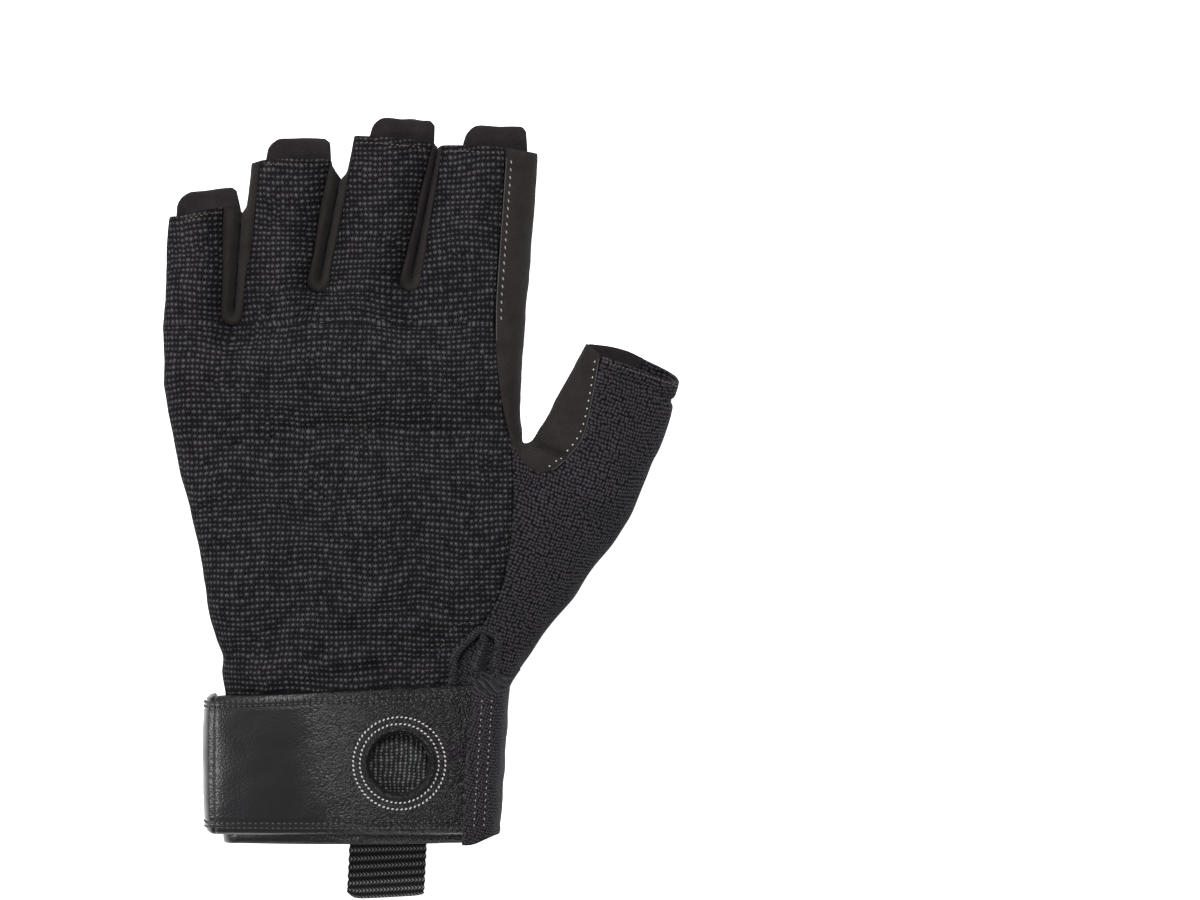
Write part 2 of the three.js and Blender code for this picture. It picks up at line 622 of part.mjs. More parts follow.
// The suede pull tab that stands out of one finger's opening.
function fingerTab(finger) {
  const { name, backLeft, backRight, palmLeft, palmRight, tab } = FINGERS[finger];
  const sheet = newSheet(`tab_${name}`, TAPE_WALL, 0x242122, 0.97);
  const left = fingerEnd(palmLeft);
  const right = fingerEnd(palmRight);
  const tips = [[left, fingerEnd(backLeft)], [right, fingerEnd(backRight)]];
  const [start, end] = tips.map(([palm, back]) => point(palm.x, Math.max(palm.y, back.y), 0));
  const outwards = point(start.y - end.y, end.x - start.x, 0).normalize();
  const floor = SUEDE_WALL + 3 * SEAM_GAP;
  addGrid(sheet, foldedPath(-TAB_TUCK, TAB_REACH, TAB_HEIGHT, -TAB_TUCK).map(([out, height]) => {
    const taper = out > 0 ? 0.7 + 0.3 * Math.sqrt(1 - Math.min(out / TAB_REACH, 1) ** 2) : 0.76;
    return steps(4).map((share) => {
      const spread = 0.5 + (share - 0.5) * taper;
      const across = lerp(tab[0], tab[1], spread);
      const place = start.clone().lerp(end, across).addScaledVector(outwards, out);
      place.z = floor + height + (SEAM_HEIGHT - SEAM_GAP) * Math.abs(2 * across - 1) ** 3;
      return place;
    });
  }), true);
  return sheet;
}

// A flat cloth piece cut to a rounded outline.
function indexPatch() {
  const outline = PATCH.map(([x, y]) => point(x * HAND_WIDTH, y * HAND_LENGTH, 0));
  const curve = new THREE.CatmullRomCurve3(outline, true);
  const around = curve.getPoints(3 * PATCH.length).slice(1);
  const shape = new THREE.Shape(around.map(({ x, y }) => new THREE.Vector2(x, y)));
  return new THREE.ExtrudeGeometry(shape, { depth: PATCH_WALL, bevelEnabled: false });
}

// The wrist's outline under the strap narrows towards the opening.
const strapTop = alongHand(0);
const cuffShrink = (y) => lerp(1 - CUFF_TAPER, 1, y / strapTop);
const wristRow = [...sideRow(backStrips[0][0][0]), ...backStrips.flatMap((strip) => strip[0].slice(1))];

// The layer under the strap. Its upper edge meets the back panel, and its end runs on under the flap.
function cuffBack() {
  const sheet = newSheet("cuff_back", FABRIC_WALL, 0x2c2c2e, 1);
  const last = wristRow.at(-1);
  const row = [...wristRow, point(last.x + CUFF_OVERLAP, 0, last.z - CUFF_OVERLAP_DROP)];
  addGrid(sheet, steps(4).map((share) => {
    const y = (strapTop - SEAM_GAP) * share;
    return row.map((place) => point(place.x * cuffShrink(y), y, place.z));
  }));
  return sheet;
}

const cuffLeft = (y) => wristRow[0].x * cuffShrink(y);
const cuffRight = (y) => THUMB_ROOT[0].outer[0] * HAND_WIDTH * cuffShrink(y);
const bandHeight = WEBBING_WALL + SEAM_GAP;

// The elastic band under the wrist, from the little finger's side round to the thumb's side.
function cuffElastic() {
  const sheet = newSheet("cuff_elastic", ELASTIC_WALL, 0x2d2b2e, 0.9);
  const slantStart = rootUnders[0];
  const columns = steps(14).map((turn) => {
    const share = Math.sin((turn * Math.PI) / 2);
    const level = (y) => lerp(cuffLeft(y) + FABRIC_WALL + 2 * SEAM_GAP, cuffRight(y), share);
    const lift = Math.max(0, 1 - (1 - share) / BAND_CORNER);
    const height = bandHeight + (MIDDLE_SHARE * CUFF_HEIGHT - bandHeight) * (1 - Math.sqrt(1 - lift ** 2));
    const slant = Math.max(0, (level(strapTop) - slantStart.x) / (cuffRight(strapTop) - slantStart.x));
    const top = lerp(slantStart.y, THUMB_ROOT[0].outer[1] * HAND_LENGTH, slant) - 3 * SEAM_GAP;
    const bottom = BAND_BOTTOM + BAND_RISE * (2 * share - 1) ** 2;
    return steps(4).map((part) => {
      const y = lerp(bottom, top, part);
      return point(level(Math.min(y, strapTop)), y, height);
    });
  });
  addGrid(sheet, columns);
  return sheet;
}

// The bound flap on the thumb's side, folded up over the strap's sewn end.
function cuffFlap() {
  const sheet = newSheet("cuff_side_flap", ELASTIC_WALL, 0x29282b, 0.95);
  addGrid(sheet, steps(4).map((share) => {
    const y = lerp(STRAP_BOTTOM, strapTop, share);
    const right = cuffRight(y);
    const low = point(right, y, MIDDLE_SHARE * CUFF_HEIGHT + 2 * SEAM_GAP);
    const end = point(right - FLAP_WIDTH, y, flapTop);
    const pulls = [point(right, y, flapTop), point(right - FLAP_ROLL, y, flapTop)];
    return new THREE.CubicBezierCurve3(low, ...pulls, end).getPoints(6).toReversed();
  }));
  return sheet;
}

// The leather strap lies over the wrist and bends down round the little finger's side, with rounded corners
// at its free end and the round hole cut through.
function wristStrap() {
  const sheet = newSheet("wrist_strap", LEATHER_WALL, LEATHER_COLOR, 0.45);
  const bends = STRAP_BENDS.map(([across, drop]) => {
    return point(STRAP_REACH * (across - 1), 0, strapRise - STRAP_SIDE_DROP * drop);
  });
  const tucked = point(cuffRight(strapTop) - FLAP_WIDTH + STRAP_TUCK, 0, strapRise - SEAM_GAP * 4);
  const path = new THREE.CatmullRomCurve3([...bends, point(HOLE_X, 0, strapRise), tucked]);
  const count = 20;
  const length = path.getLength();
  const rows = path.getSpacedPoints(count).map((place, index) => {
    const toEnd = STRAP_CORNER - Math.min((length * index) / count, STRAP_CORNER);
    const cut = STRAP_CORNER - Math.sqrt(STRAP_CORNER ** 2 - toEnd ** 2);
    return steps(4).map((share) => {
      return point(place.x, STRAP_BOTTOM + lerp(cut, STRAP_HEIGHT - cut, share), place.z);
    });
  });
  addGrid(sheet, rows, true);
  const hole = new THREE.CylinderGeometry(HOLE_DIAMETER / 2, HOLE_DIAMETER / 2, 4 * LEATHER_WALL, 32);
  hole.rotateX(Math.PI / 2);
  hole.translate(HOLE_X, STRAP_BOTTOM + STRAP_HEIGHT / 2, strapRise);
  return cut(thicken(sheet), hole);
}

function toManifold(geometry) {
  const plain = geometry.clone();
  plain.deleteAttribute("normal");
  plain.deleteAttribute("uv");
  const merged = mergeVertices(plain, 1e-4);
  const vertProperties = new Float32Array(merged.getAttribute("position").array);
  const triVerts = new Uint32Array(merged.getIndex().array);
  return new wasm.Manifold(new wasm.Mesh({ numProp: 3, vertProperties, triVerts }));
}

function cut(body, tool) {
  const mesh = toManifold(body).subtract(toManifold(tool)).getMesh();
  const geometry = new THREE.BufferGeometry();
  geometry.setAttribute("position", new THREE.BufferAttribute(new Float32Array(mesh.vertProperties), 3));
  geometry.setIndex([...mesh.triVerts]);
  geometry.computeVertexNormals();
  return geometry;
}

// A strip of tape whose path runs back from the wrist's opening, with a row of points across it.
function tape(name, wall, color, x, width, path) {
  const sheet = newSheet(name, wall, color, 0.9);
  addGrid(sheet, path.map(([y, z]) => steps(2).map((share) => point(x + width * (share - 0.5), y, z))));
  return sheet;
}

// The pull loop is sewn under the band, hangs out below the strap and folds back up inside the wrist.
function pullWebbing() {
  const folded = foldedPath(-WEBBING_START, WEBBING_DROP, WEBBING_LOOP, -WEBBING_SEWN);
  const inside = bandHeight + ELASTIC_WALL + SEAM_GAP + WEBBING_WALL;
  const leaf = folded.map(([out, z]) => [-out, z]);
  const sewn = [[BAND_BOTTOM - WEBBING_WALL, inside], [BAND_BOTTOM + WEBBING_SEWN, inside]];
  const path = [...leaf, ...sewn];
  return tape("pull_webbing", WEBBING_WALL, 0x282728, WEBBING_X, WEBBING_WIDTH, path);
}

// Two short loops of tape are sewn inside the band's lower edge.
function tapeLoop(name, x) {
  const floor = bandHeight + ELASTIC_WALL + SEAM_GAP;
  const folded = foldedPath(-TAPE_SEWN, TAPE_DROP, TAPE_LOOP, -TAPE_SEWN);
  const path = folded.map(([out, z]) => [BAND_BOTTOM - out, floor + z]);
  return tape(name, TAPE_WALL, 0x2b2a2b, x, TAPE_WIDTH, path);
}

const slitHeight = alongHand(SLIT_SECTION) - strapTop;

// The rounded piping sewn round the slit's edge.
function slitPiping() {
  const route = PIPING.map(([across, up]) => {
    const y = strapTop + 1.5 + (slitHeight + 0.5) * Math.max(up, 0);
    const x = section("seam", strapTop) + SLIT_WIDTH * across;
    return point(x, y, backHeight(x, y) + PIPING_DIAMETER / 2 + 2 * SEAM_GAP);
  });
  const curve = new THREE.CatmullRomCurve3(route);
  const round = new THREE.Shape().absarc(0, 0, PIPING_DIAMETER / 2, 0, 2 * Math.PI);
  return new THREE.ExtrudeGeometry(round, { steps: 24, curveSegments: 4, extrudePath: curve });
}

// The soft gusset that shows in the slit, with its raised fold.
function slitGusset() {
  const sheet = newSheet("slit_gusset", TAPE_WALL, 0x232226, 1);
  addGrid(sheet, steps(4).map((share) => {
    const y = lerp(strapTop + 2 * SEAM_GAP, alongHand(SLIT_SECTION) - 1, share);
    const left = section("seam", strapTop) - 1;
    return GUSSET_WAVES.map((wave, index) => {
      const x = left + ((SLIT_WIDTH + 2) * index) / (GUSSET_WAVES.length - 1);
      return point(x, y, backHeight(left, strapTop) + lerp(wave, GUSSET_WAVES[0], share ** 2));
    });
  }));
  return sheet;
}

const fourchettes = [0, 1, 2].map(fourchette);
const skin = [backPanel(), palmPanel(), ...fourchettes, sideStrip(), thumbTerry(), thumbPalm()];
for (const sheet of skin) {
  sheet.rim = rimOf(sheet);
  sheet.normals = ownNormals(sheet);
}

const tapeSpread = TAPE_SPREAD_SHARE * HAND_WIDTH;
const littleSideLoop = tapeLoop("tape_loop_little_side", WEBBING_X - tapeSpread);
const thumbSideLoop = tapeLoop("tape_loop_thumb_side", WEBBING_X + tapeSpread);
const band = [cuffBack(), cuffElastic(), cuffFlap(), pullWebbing(), littleSideLoop, thumbSideLoop];
const tabs = FINGERS.map((_, finger) => fingerTab(finger));

function mesh(name, geometry, color, roughness) {
  const made = new THREE.Mesh(geometry, new THREE.MeshStandardMaterial({ color, roughness, metalness: 0 }));
  made.name = name;
  return made;
}

const glove = new THREE.Group();
for (const sheet of skin) {
  const others = skin.filter((other) => other !== sheet);
  glove.add(mesh(sheet.name, thicken(sheet, others), sheet.color, sheet.roughness));
}
for (const sheet of [...band, slitGusset(), ...tabs]) {
  glove.add(mesh(sheet.name, thicken(sheet), sheet.color, sheet.roughness));
}
glove.add(mesh("wrist_strap", wristStrap(), LEATHER_COLOR, 0.45));
glove.add(mesh("index_patch", indexPatch(), PALM_SUEDE_COLOR, 0.97));
glove.add(mesh("slit_piping", slitPiping(), 0x242327, 0.95));

// The glove stands on its lowest point, over the middle of its outline.
const box = new THREE.Box3().setFromObject(glove);
const center = box.getCenter(point(0, 0, 0));
glove.position.set(-center.x, -center.y, -box.min.z);

export default glove;
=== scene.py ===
# %% [markdown]
# A half-finger climbing glove, lying palm down. The real one is sewn from flat panels: a quilted knit back,
# a suede palm, a looped knit round the thumb, and a leather strap over the wrist. It could be sculpted by
# hand, or cut flat and sewn by a cloth simulation. Here each panel is a surface worked out from a few short
# tables, because the outline is known and has to stay where it is. Then it gets its wall and its material.
#
# The tables are in millimetres or in shares of the hand's sizes. The origin of that pattern is the middle
# of the wrist's opening, and the last step of each mesh moves it to the glove's own frame, in metres.

# %% Set up
import math

import bpy
import numpy as np
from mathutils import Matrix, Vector
from mathutils.bvhtree import BVHTree


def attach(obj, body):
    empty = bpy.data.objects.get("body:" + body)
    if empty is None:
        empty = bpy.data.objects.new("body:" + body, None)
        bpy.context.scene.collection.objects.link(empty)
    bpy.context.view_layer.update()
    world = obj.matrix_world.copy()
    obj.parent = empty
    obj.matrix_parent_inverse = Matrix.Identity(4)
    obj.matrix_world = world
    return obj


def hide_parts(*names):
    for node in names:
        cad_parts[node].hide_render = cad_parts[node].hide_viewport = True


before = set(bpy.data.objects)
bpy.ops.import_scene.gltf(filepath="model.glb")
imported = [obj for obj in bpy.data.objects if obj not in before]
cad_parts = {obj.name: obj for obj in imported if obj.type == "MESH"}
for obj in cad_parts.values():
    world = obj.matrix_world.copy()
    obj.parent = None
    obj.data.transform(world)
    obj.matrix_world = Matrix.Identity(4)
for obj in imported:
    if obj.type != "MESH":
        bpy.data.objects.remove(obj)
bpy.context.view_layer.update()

MM = 0.001
PATTERN_CENTRE = np.array([19.7, 85.7, 0.0])

# %% [markdown]
# The main sizes are those of the solids, so that each panel lies where its solid lies. They are written out
# again, since the frame holds finished bodies and not the numbers that they were made from.

# %% Sizes, in millimetres
HAND_WIDTH, HAND_LENGTH, HAND_HEIGHT = 93.0, 142.0, 23.0
FINGER_LENGTH, FINGER_HEIGHT, FINGER_EDGE = 38.5, 14.5, 9.0
THUMB_LENGTH, THUMB_HEIGHT = 34.0, 16.0
SIDE_ROLL, SHOULDER_DROP, SHOULDER_RISE, TIP_ROLL = 6.0, 3.2, 2.0, 4.2
VALLEY_DEPTH, VALLEY_REACH, CROTCH_RADIUS, WEB_RISE = 6.5, 18.0, 2.5, 3.0
SEAM_HEIGHT, SEAM_TUCK, MIDDLE = 3.0, 1.5, 0.45
BASE = 1.3
CUFF_HEIGHT, CUFF_TAPER = 19.4, 0.06
STRAP_BOTTOM, STRAP_HEIGHT, STRAP_RISE = 2.6, 36.4, 21.9
HOLE_X, HOLE_Y, HOLE_RADIUS = 14.2, 20.8, 7.5
SLIT_WIDTH = 11.3
STEP = 0.75

# %% [markdown]
# Across the hand, each row of the glove is described by where its lines lie: the little finger's outline,
# the lines that run to the finger crotches, the seam to the suede on the thumb's side, and the palm's edge.
# Hundreds of traced points could do the same, but a table with a row for each section is easy to read and
# to correct. Each value is a share of the hand's width, height or length.

# %% The hand's sections, as shares
SECTIONS = {
    "along": [0.274, 0.344, 0.384, 0.445, 0.507, 0.562, 0.62, 0.676, 0.721, 0.743, 0.795, 0.853, 0.909,
              0.934, 0.972, 0.993],
    "top": [0.83, 0.84, 0.86, 0.88, 0.9, 0.92, 0.93, 0.93, 0.92, 0.885, 0.98, 1, 0.95, 0.88, 0.87, 0.85],
    "side": [-0.336, -0.355, -0.367, -0.387, -0.401, -0.418, -0.439, -0.463, -0.478, -0.484, -0.495, -0.503,
             -0.506, -0.506, -0.504, -0.502],
    "line1": [-0.153, -0.168, -0.18, -0.195, -0.21, -0.224, -0.238, -0.252, -0.263, -0.268, -0.281, -0.295,
              -0.309, -0.315, -0.315, -0.315],
    "line2": [0.012, 0.005, 0, -0.009, -0.016, -0.023, -0.03, -0.037, -0.042, -0.045, -0.051, -0.058,
              -0.065, -0.068, -0.073, -0.076],
    "line3": [0.178] * 16,
    "seam": [0.29, 0.296, 0.37, 0.428, 0.447, 0.458, 0.464, 0.461, 0.458, 0.447, 0.431, 0.42, 0.414, 0.414,
             0.414, 0.417],
    "palm": [0.02, 0.073, 0.117, 0.18, 0.241, 0.296, 0.345, 0.395, 0.5, 0.48, 0.48, 0.483, 0.489, 0.491,
             0.497, 0.5],
}
LINES = ["side", "line1", "line2", "line3", "seam"]
LITTLE_CROTCH, OTHER_CROTCH, THUMB_CROTCH = 0.934 * HAND_LENGTH, 0.993 * HAND_LENGTH, 0.721 * HAND_LENGTH
WRIST = 0.274 * HAND_LENGTH
CROTCHES = [np.inf, LITTLE_CROTCH, OTHER_CROTCH, OTHER_CROTCH, np.inf]
FINGERS = [
    {"back": [(-0.496, 0.475), (-0.337, 0.535)],
     "palm": [(-0.47, 0.455), (-0.29, 0.512)], "tab": (0.0, 0.95)},
    {"back": [(-0.238, 0.85), (-0.043, 0.85)],
     "palm": [(-0.266, 0.83), (-0.012, 0.734)], "tab": (0.17, 0.86)},
    {"back": [(0.026, 1.012), (0.241, 0.963)],
     "palm": [(0.02, 0.993), (0.248, 0.943)], "tab": (0.19, 0.96)},
    {"back": [(0.263, 0.95), (0.442, 0.925)],
     "palm": [(0.256, 0.936), (0.513, 0.87)], "tab": (0.26, 0.93)},
]


def smoothed(values, spread):
    """A running mean with a bell of that spread, in steps of the array."""
    reach = np.arange(-3 * spread, 3 * spread + 1)
    bell = np.exp(-0.5 * (reach / spread) ** 2)
    padded = np.pad(values, len(reach) // 2, mode="reflect", reflect_type="odd")
    return np.convolve(padded, bell / bell.sum(), mode="valid")


DENSE = np.arange(WRIST, HAND_LENGTH, 0.25)
SMOOTH = {name: smoothed(np.interp(DENSE / HAND_LENGTH, SECTIONS["along"], SECTIONS[name]), 8)
          for name in SECTIONS if name != "along"}


def section(name, y):
    """A column of the table at y, with its corners rounded over a few millimetres."""
    size = HAND_HEIGHT if name == "top" else HAND_WIDTH
    return size * np.interp(y, DENSE, SMOOTH[name])


def smoothstep(value):
    """0 below 0, 1 above 1, and three squares less two cubes between."""
    value = np.clip(value, 0, 1)
    return value * value * (3 - 2 * value)


def lerp(start, end, share):
    return start + (end - start) * share


def stack(x, y, z):
    """Three coordinate arrays of any matching shapes as one array of points."""
    return np.stack(np.broadcast_arrays(x, y, z), axis=-1).astype(float)


knuckles = float(section("seam", 125) - section("side", 125))
print(f"width at the knuckles: {knuckles:.1f} mm to the seam")

# %% [markdown]
# The knit back is an arched surface over the hand that parts into four arched finger backs. Between two
# fingers it sinks towards their crotch. It could be one sheet with slots cut out, but cut cells leave
# ragged edges. So a row of points runs over each finger, and neighbouring fingers share the points of the
# line between them up to the crotch, where the line opens into a rounded slot.

# %% Edges of the back
def tip(finger, layer, right):
    """The end of a finger's edge on the back or the palm."""
    x, y = FINGERS[finger][layer][right]
    return x * HAND_WIDTH, HAND_LENGTH + y * FINGER_LENGTH


def back_height(x, y):
    """The section's height, less a drop that grows with the power 2.5 of the distance from the middle."""
    left = section("side", y) + SIDE_ROLL
    right = section("seam", y)
    offset = np.clip(np.abs((x - (left + right) / 2) / ((right - left) / 2)), 0, 1.2)
    return section("top", y) - SHOULDER_DROP * offset ** 2.5


def valley(line, y):
    """How far the back sinks at a line: nothing far from its crotch, the full depth at it."""
    return VALLEY_DEPTH * smoothstep(1 - (CROTCHES[line] - y) / VALLEY_REACH)


def slot_offset(past, radius):
    """Half the width of a slot with a round bottom, at a distance past the bottom."""
    part = np.clip(past / radius, 0, 1)
    return radius * np.sqrt(1 - (1 - part) ** 2)


def back_edge(finger, right, y):
    """The left or right edge of a finger's back: the shared line up to the crotch, then a straight edge to
    the tip that starts at the slot's side."""
    line = finger + right
    end_x, end_y = tip(finger, "back", right)
    outer = line in (0, 4)
    root = LITTLE_CROTCH if line in (0, 1) else OTHER_CROTCH
    inset = SIDE_ROLL if line == 0 else 0
    root_x = section(LINES[line], root) + inset
    root_z = back_height(root_x, root) - (0 if outer else VALLEY_DEPTH)
    on_hand = y <= root
    hand_x = section(LINES[line], y) + inset
    hand_z = back_height(hand_x, y) - (0 if outer else valley(line, y))
    way = 0 if outer else (-1 if right else 1)
    past = np.maximum(y - root, 0)
    share = past / (end_y - root)
    last_x = end_x + (TIP_ROLL if line == 0 else 0)
    straight = np.clip((past - CROTCH_RADIUS) / (end_y - root - CROTCH_RADIUS), 0, 1)
    finger_x = root_x + way * slot_offset(past, CROTCH_RADIUS)
    finger_x = finger_x + (last_x - root_x - way * CROTCH_RADIUS) * (share if outer else straight)
    last_z = FINGER_EDGE + (SHOULDER_RISE if outer else 0)
    finger_z = lerp(root_z, last_z, share)
    return stack(np.where(on_hand, hand_x, finger_x), y, np.where(on_hand, hand_z, finger_z))


def crotch_steps(root):
    """Distances along a slot's round bottom, closest together where it turns."""
    return root + CROTCH_RADIUS * (1 - np.cos(np.linspace(0, np.pi / 2, 7)[1:]))


def spaced(start, end, step=STEP):
    return np.linspace(start, end, max(2, round((end - start) / step) + 1))


HAND_ROWS = spaced(WRIST, LITTLE_CROTCH)
BETWEEN_ROWS = np.concatenate([crotch_steps(LITTLE_CROTCH),
                               spaced(LITTLE_CROTCH + CROTCH_RADIUS, OTHER_CROTCH)[1:]])


def finger_rows(finger):
    """The y of each row on a finger's left and right edges: level over the hand, slanting to the hem."""
    if finger == 0:
        shared, root = HAND_ROWS, LITTLE_CROTCH
    else:
        shared, root = np.concatenate([HAND_ROWS, BETWEEN_ROWS]), OTHER_CROTCH
    slot = crotch_steps(root)
    own = np.linspace(0, 1, 44)[1:]
    sides = []
    for right in (0, 1):
        end_y = tip(finger, "back", right)[1]
        sides.append(np.concatenate([shared, slot, lerp(slot[-1], end_y, own)]))
    return sides


print("rows over the hand:", len(HAND_ROWS), "and between the crotches:", len(BETWEEN_ROWS))

# %% [markdown]
# With both edges known, each finger's strip of the back is filled in between them. Straight lines across
# would give a tent, so an arch is added. Its power of 2.4 is flatter on top than a circle, as cloth over a
# finger is. Where the hand begins, the four arches have to melt into one wide arch, so the two shapes are
# blended.

# %% The back as one grid for each finger
def back_strip(finger, columns=31):
    """z is the line between the two edges plus an arch 1 - |2s - 1|^2.4 that lifts the middle to the back's
    own height. Over the hand this blends into the hand's one wide arch."""
    left_y, right_y = finger_rows(finger)
    left = back_edge(finger, 0, left_y)[:, None]
    right = back_edge(finger, 1, right_y)[:, None]
    share = np.linspace(0, 1, columns)[None, :]
    place = lerp(left, right, share[..., None])
    root = LITTLE_CROTCH if finger == 0 else OTHER_CROTCH
    middle_y = (left_y + right_y) / 2
    middle_x = (left[:, 0, 0] + right[:, 0, 0]) / 2
    crown = back_height(middle_x, np.minimum(middle_y, root))
    crown = lerp(crown, FINGER_HEIGHT, np.clip((middle_y - root) / (left_y[-1] - root), 0, 1))
    lift = crown - (left[:, 0, 2] + right[:, 0, 2]) / 2
    arched = place[..., 2] + lift[:, None] * (1 - np.abs(2 * share - 1) ** 2.4)
    drop_left = 0 if finger == 0 else valley(finger, left_y)[:, None]
    drop_right = 0 if finger == 3 else valley(finger + 1, right_y)[:, None]
    wide = back_height(place[..., 0], place[..., 1])
    wide = (wide - drop_left * np.clip(1 - 2 * share, 0, 1) ** 2.4
            - drop_right * np.clip(2 * share - 1, 0, 1) ** 2.4)
    near = smoothstep((middle_y - (root - VALLEY_REACH)) / VALLEY_REACH)[:, None]
    place[..., 2] = lerp(wide, arched, near)
    return place


def roll(upper, widest, lower, count=18):
    """Two arcs that meet upright at the widest line: each is a quadratic curve from a seam to that line."""
    share = np.linspace(0, 1, count)[None, :, None]
    high = np.stack([widest[:, 0], widest[:, 1], upper[:, 2]], -1)[:, None]
    low = np.stack([widest[:, 0], widest[:, 1], lower[:, 2]], -1)[:, None]
    above = (1 - share) ** 2 * upper[:, None] + 2 * share * (1 - share) * high + share ** 2 * widest[:, None]
    below = (1 - share) ** 2 * widest[:, None] + 2 * share * (1 - share) * low + share ** 2 * lower[:, None]
    return np.concatenate([above, below[:, 1:]], axis=1)


def outline_x(right, y):
    """The outline on the little finger's side, or on the index finger's side."""
    end_x, end_y = tip(3, "palm", 1) if right else tip(0, "back", 0)
    column = "palm" if right else "side"
    root = OTHER_CROTCH if right else LITTLE_CROTCH
    end_x = end_x + (SEAM_TUCK if right else 0)
    finger_x = lerp(section(column, root), end_x, (y - root) / (end_y - root))
    return np.where(y <= root, section(column, y), finger_x)


def little_side(shoulder):
    """From the shoulder round the outline to the seam with the palm."""
    x = outline_x(False, shoulder[:, 1])
    widest = stack(x, shoulder[:, 1], shoulder[:, 2] * MIDDLE)
    return roll(shoulder, widest, stack(x + SEAM_TUCK, shoulder[:, 1], SEAM_HEIGHT))[:, ::-1]


BACK_STRIPS = [back_strip(finger) for finger in range(4)]
print("back strips:", [strip.shape[:2] for strip in BACK_STRIPS])

# %% [markdown]
# Every panel goes through the same few steps. Its grids are laid side by side and points that fall on the
# same place become one. A few rounds of smoothing take out the creases between grids, as stretched cloth
# would. Then the surface is pushed along its normals by folds and stitched grooves.

# %% Joining, smoothing and pushing a surface
def quads_of(rows, columns, turned):
    """The four corners of each cell. Outside is the columns' direction crossed with the rows'."""
    corner = np.arange(rows * columns).reshape(rows, columns)
    cells = np.stack([corner[:-1, :-1], corner[:-1, 1:], corner[1:, 1:], corner[1:, :-1]], -1).reshape(-1, 4)
    return cells[:, ::-1] if turned else cells


def flat_measure(grid):
    """Two lengths for each point: the distance along its row, and along the middle column, in metres. They
    are the cloth's own width and length."""
    across = np.linalg.norm(np.diff(grid, axis=1), axis=-1)
    across = np.concatenate([np.zeros((len(grid), 1)), np.cumsum(across, axis=1)], axis=1)
    middle = across[:, across.shape[1] // 2]
    along = np.linalg.norm(np.diff(grid[:, grid.shape[1] // 2], axis=0), axis=-1)
    along = np.concatenate([[0], np.cumsum(along)])
    return np.stack([across - middle[:, None], np.broadcast_to(along[:, None], across.shape)], -1) * MM


def join(grids, turned=False, cloth=None):
    """One surface from several grids: points, cells and the cloth coordinates of each cell's corners."""
    points, cells, cloths, start = [], [], [], 0
    for index, grid in enumerate(grids):
        made = quads_of(*grid.shape[:2], turned)
        measure = flat_measure(grid) if cloth is None else cloth[index]
        cloths.append(measure.reshape(-1, 2)[made])
        cells.append(made + start)
        points.append(grid.reshape(-1, 3))
        start += grid.shape[0] * grid.shape[1]
    points, cells, cloths = np.concatenate(points), np.concatenate(cells), np.concatenate(cloths)
    rounded = np.round(points * 500).astype(np.int64)
    _, first, same = np.unique(rounded, axis=0, return_index=True, return_inverse=True)
    return {"points": points[first], "cells": same.reshape(-1)[cells], "cloth": cloths}


def edges_of(surface):
    """Each edge once, and whether it has a cell on one side only."""
    cells = surface["cells"]
    pairs = np.sort(np.concatenate([cells[:, [i, (i + 1) % 4]] for i in range(4)]), axis=1)
    pairs, count = np.unique(pairs[pairs[:, 0] != pairs[:, 1]], axis=0, return_counts=True)
    return pairs, count == 1


def relax(surface, rounds):
    """Moves each point half way to the mean of its neighbours, again and again, but keeps the free edges."""
    pairs, free = edges_of(surface)
    points = surface["points"]
    held = np.zeros(len(points), bool)
    held[pairs[free].ravel()] = True
    start, end = np.concatenate([pairs, pairs[:, ::-1]]).T
    count = np.bincount(start, minlength=len(points))[:, None]
    for _ in range(rounds):
        total = np.stack([np.bincount(start, points[end, axis], len(points)) for axis in range(3)], -1)
        points = np.where(held[:, None], points, (points + total / count) / 2)
    surface["points"] = points
    return surface


def normals_of(surface):
    """The mean direction of the cells at each point, each weighed by its size."""
    points, cells = surface["points"], surface["cells"]
    facing = np.cross(points[cells[:, 2]] - points[cells[:, 0]], points[cells[:, 3]] - points[cells[:, 1]])
    total = np.stack([np.bincount(cells.ravel(), np.repeat(facing[:, axis], 4), len(points))
                      for axis in range(3)], -1)
    return total / np.maximum(np.linalg.norm(total, axis=1), 1e-9)[:, None]


def edge_distance(surface, reach):
    """The distance of each point to the nearest free edge, up to a reach, in millimetres."""
    pairs, free = edges_of(surface)
    points = surface["points"]
    distance = np.full(len(points), float(reach))
    distance[pairs[free].ravel()] = 0
    length = np.linalg.norm(points[pairs[:, 0]] - points[pairs[:, 1]], axis=1)
    for _ in range(math.ceil(2 * reach / STEP)):
        for near, far in ((0, 1), (1, 0)):
            np.minimum.at(distance, pairs[:, near], distance[pairs[:, far]] + length)
    return distance


def push(surface, height):
    """Moves the points along their normals by a height in millimetres."""
    surface["points"] = surface["points"] + normals_of(surface) * np.asarray(height)[:, None]
    return surface


def groove(points, route, depth, width):
    """A soft groove: a bell across the distance to a route of straight pieces, seen from above."""
    spot, line = points[:, None, :2], np.asarray(route, float)
    start, run = line[:-1][None], (line[1:] - line[:-1])[None]
    share = np.clip(((spot - start) * run).sum(-1) / (run * run).sum(-1), 0, 1)
    gap = np.linalg.norm(spot - start - share[..., None] * run, axis=-1).min(axis=1)
    return -depth * np.exp(-(gap / width) ** 2)


def ripple(points, size, seed):
    """Gentle unevenness: the sum of a few waves in random directions, about that size long."""
    chance = np.random.default_rng(seed)
    total = np.zeros(len(points))
    for _ in range(9):
        way = chance.normal(size=3)
        way *= 2 * np.pi / (size * chance.uniform(0.6, 1.6)) / np.linalg.norm(way)
        total += np.sin(points @ way + chance.uniform(0, 2 * np.pi))
    return total / 3


print("back joined:", len(join(BACK_STRIPS)["points"]), "points")

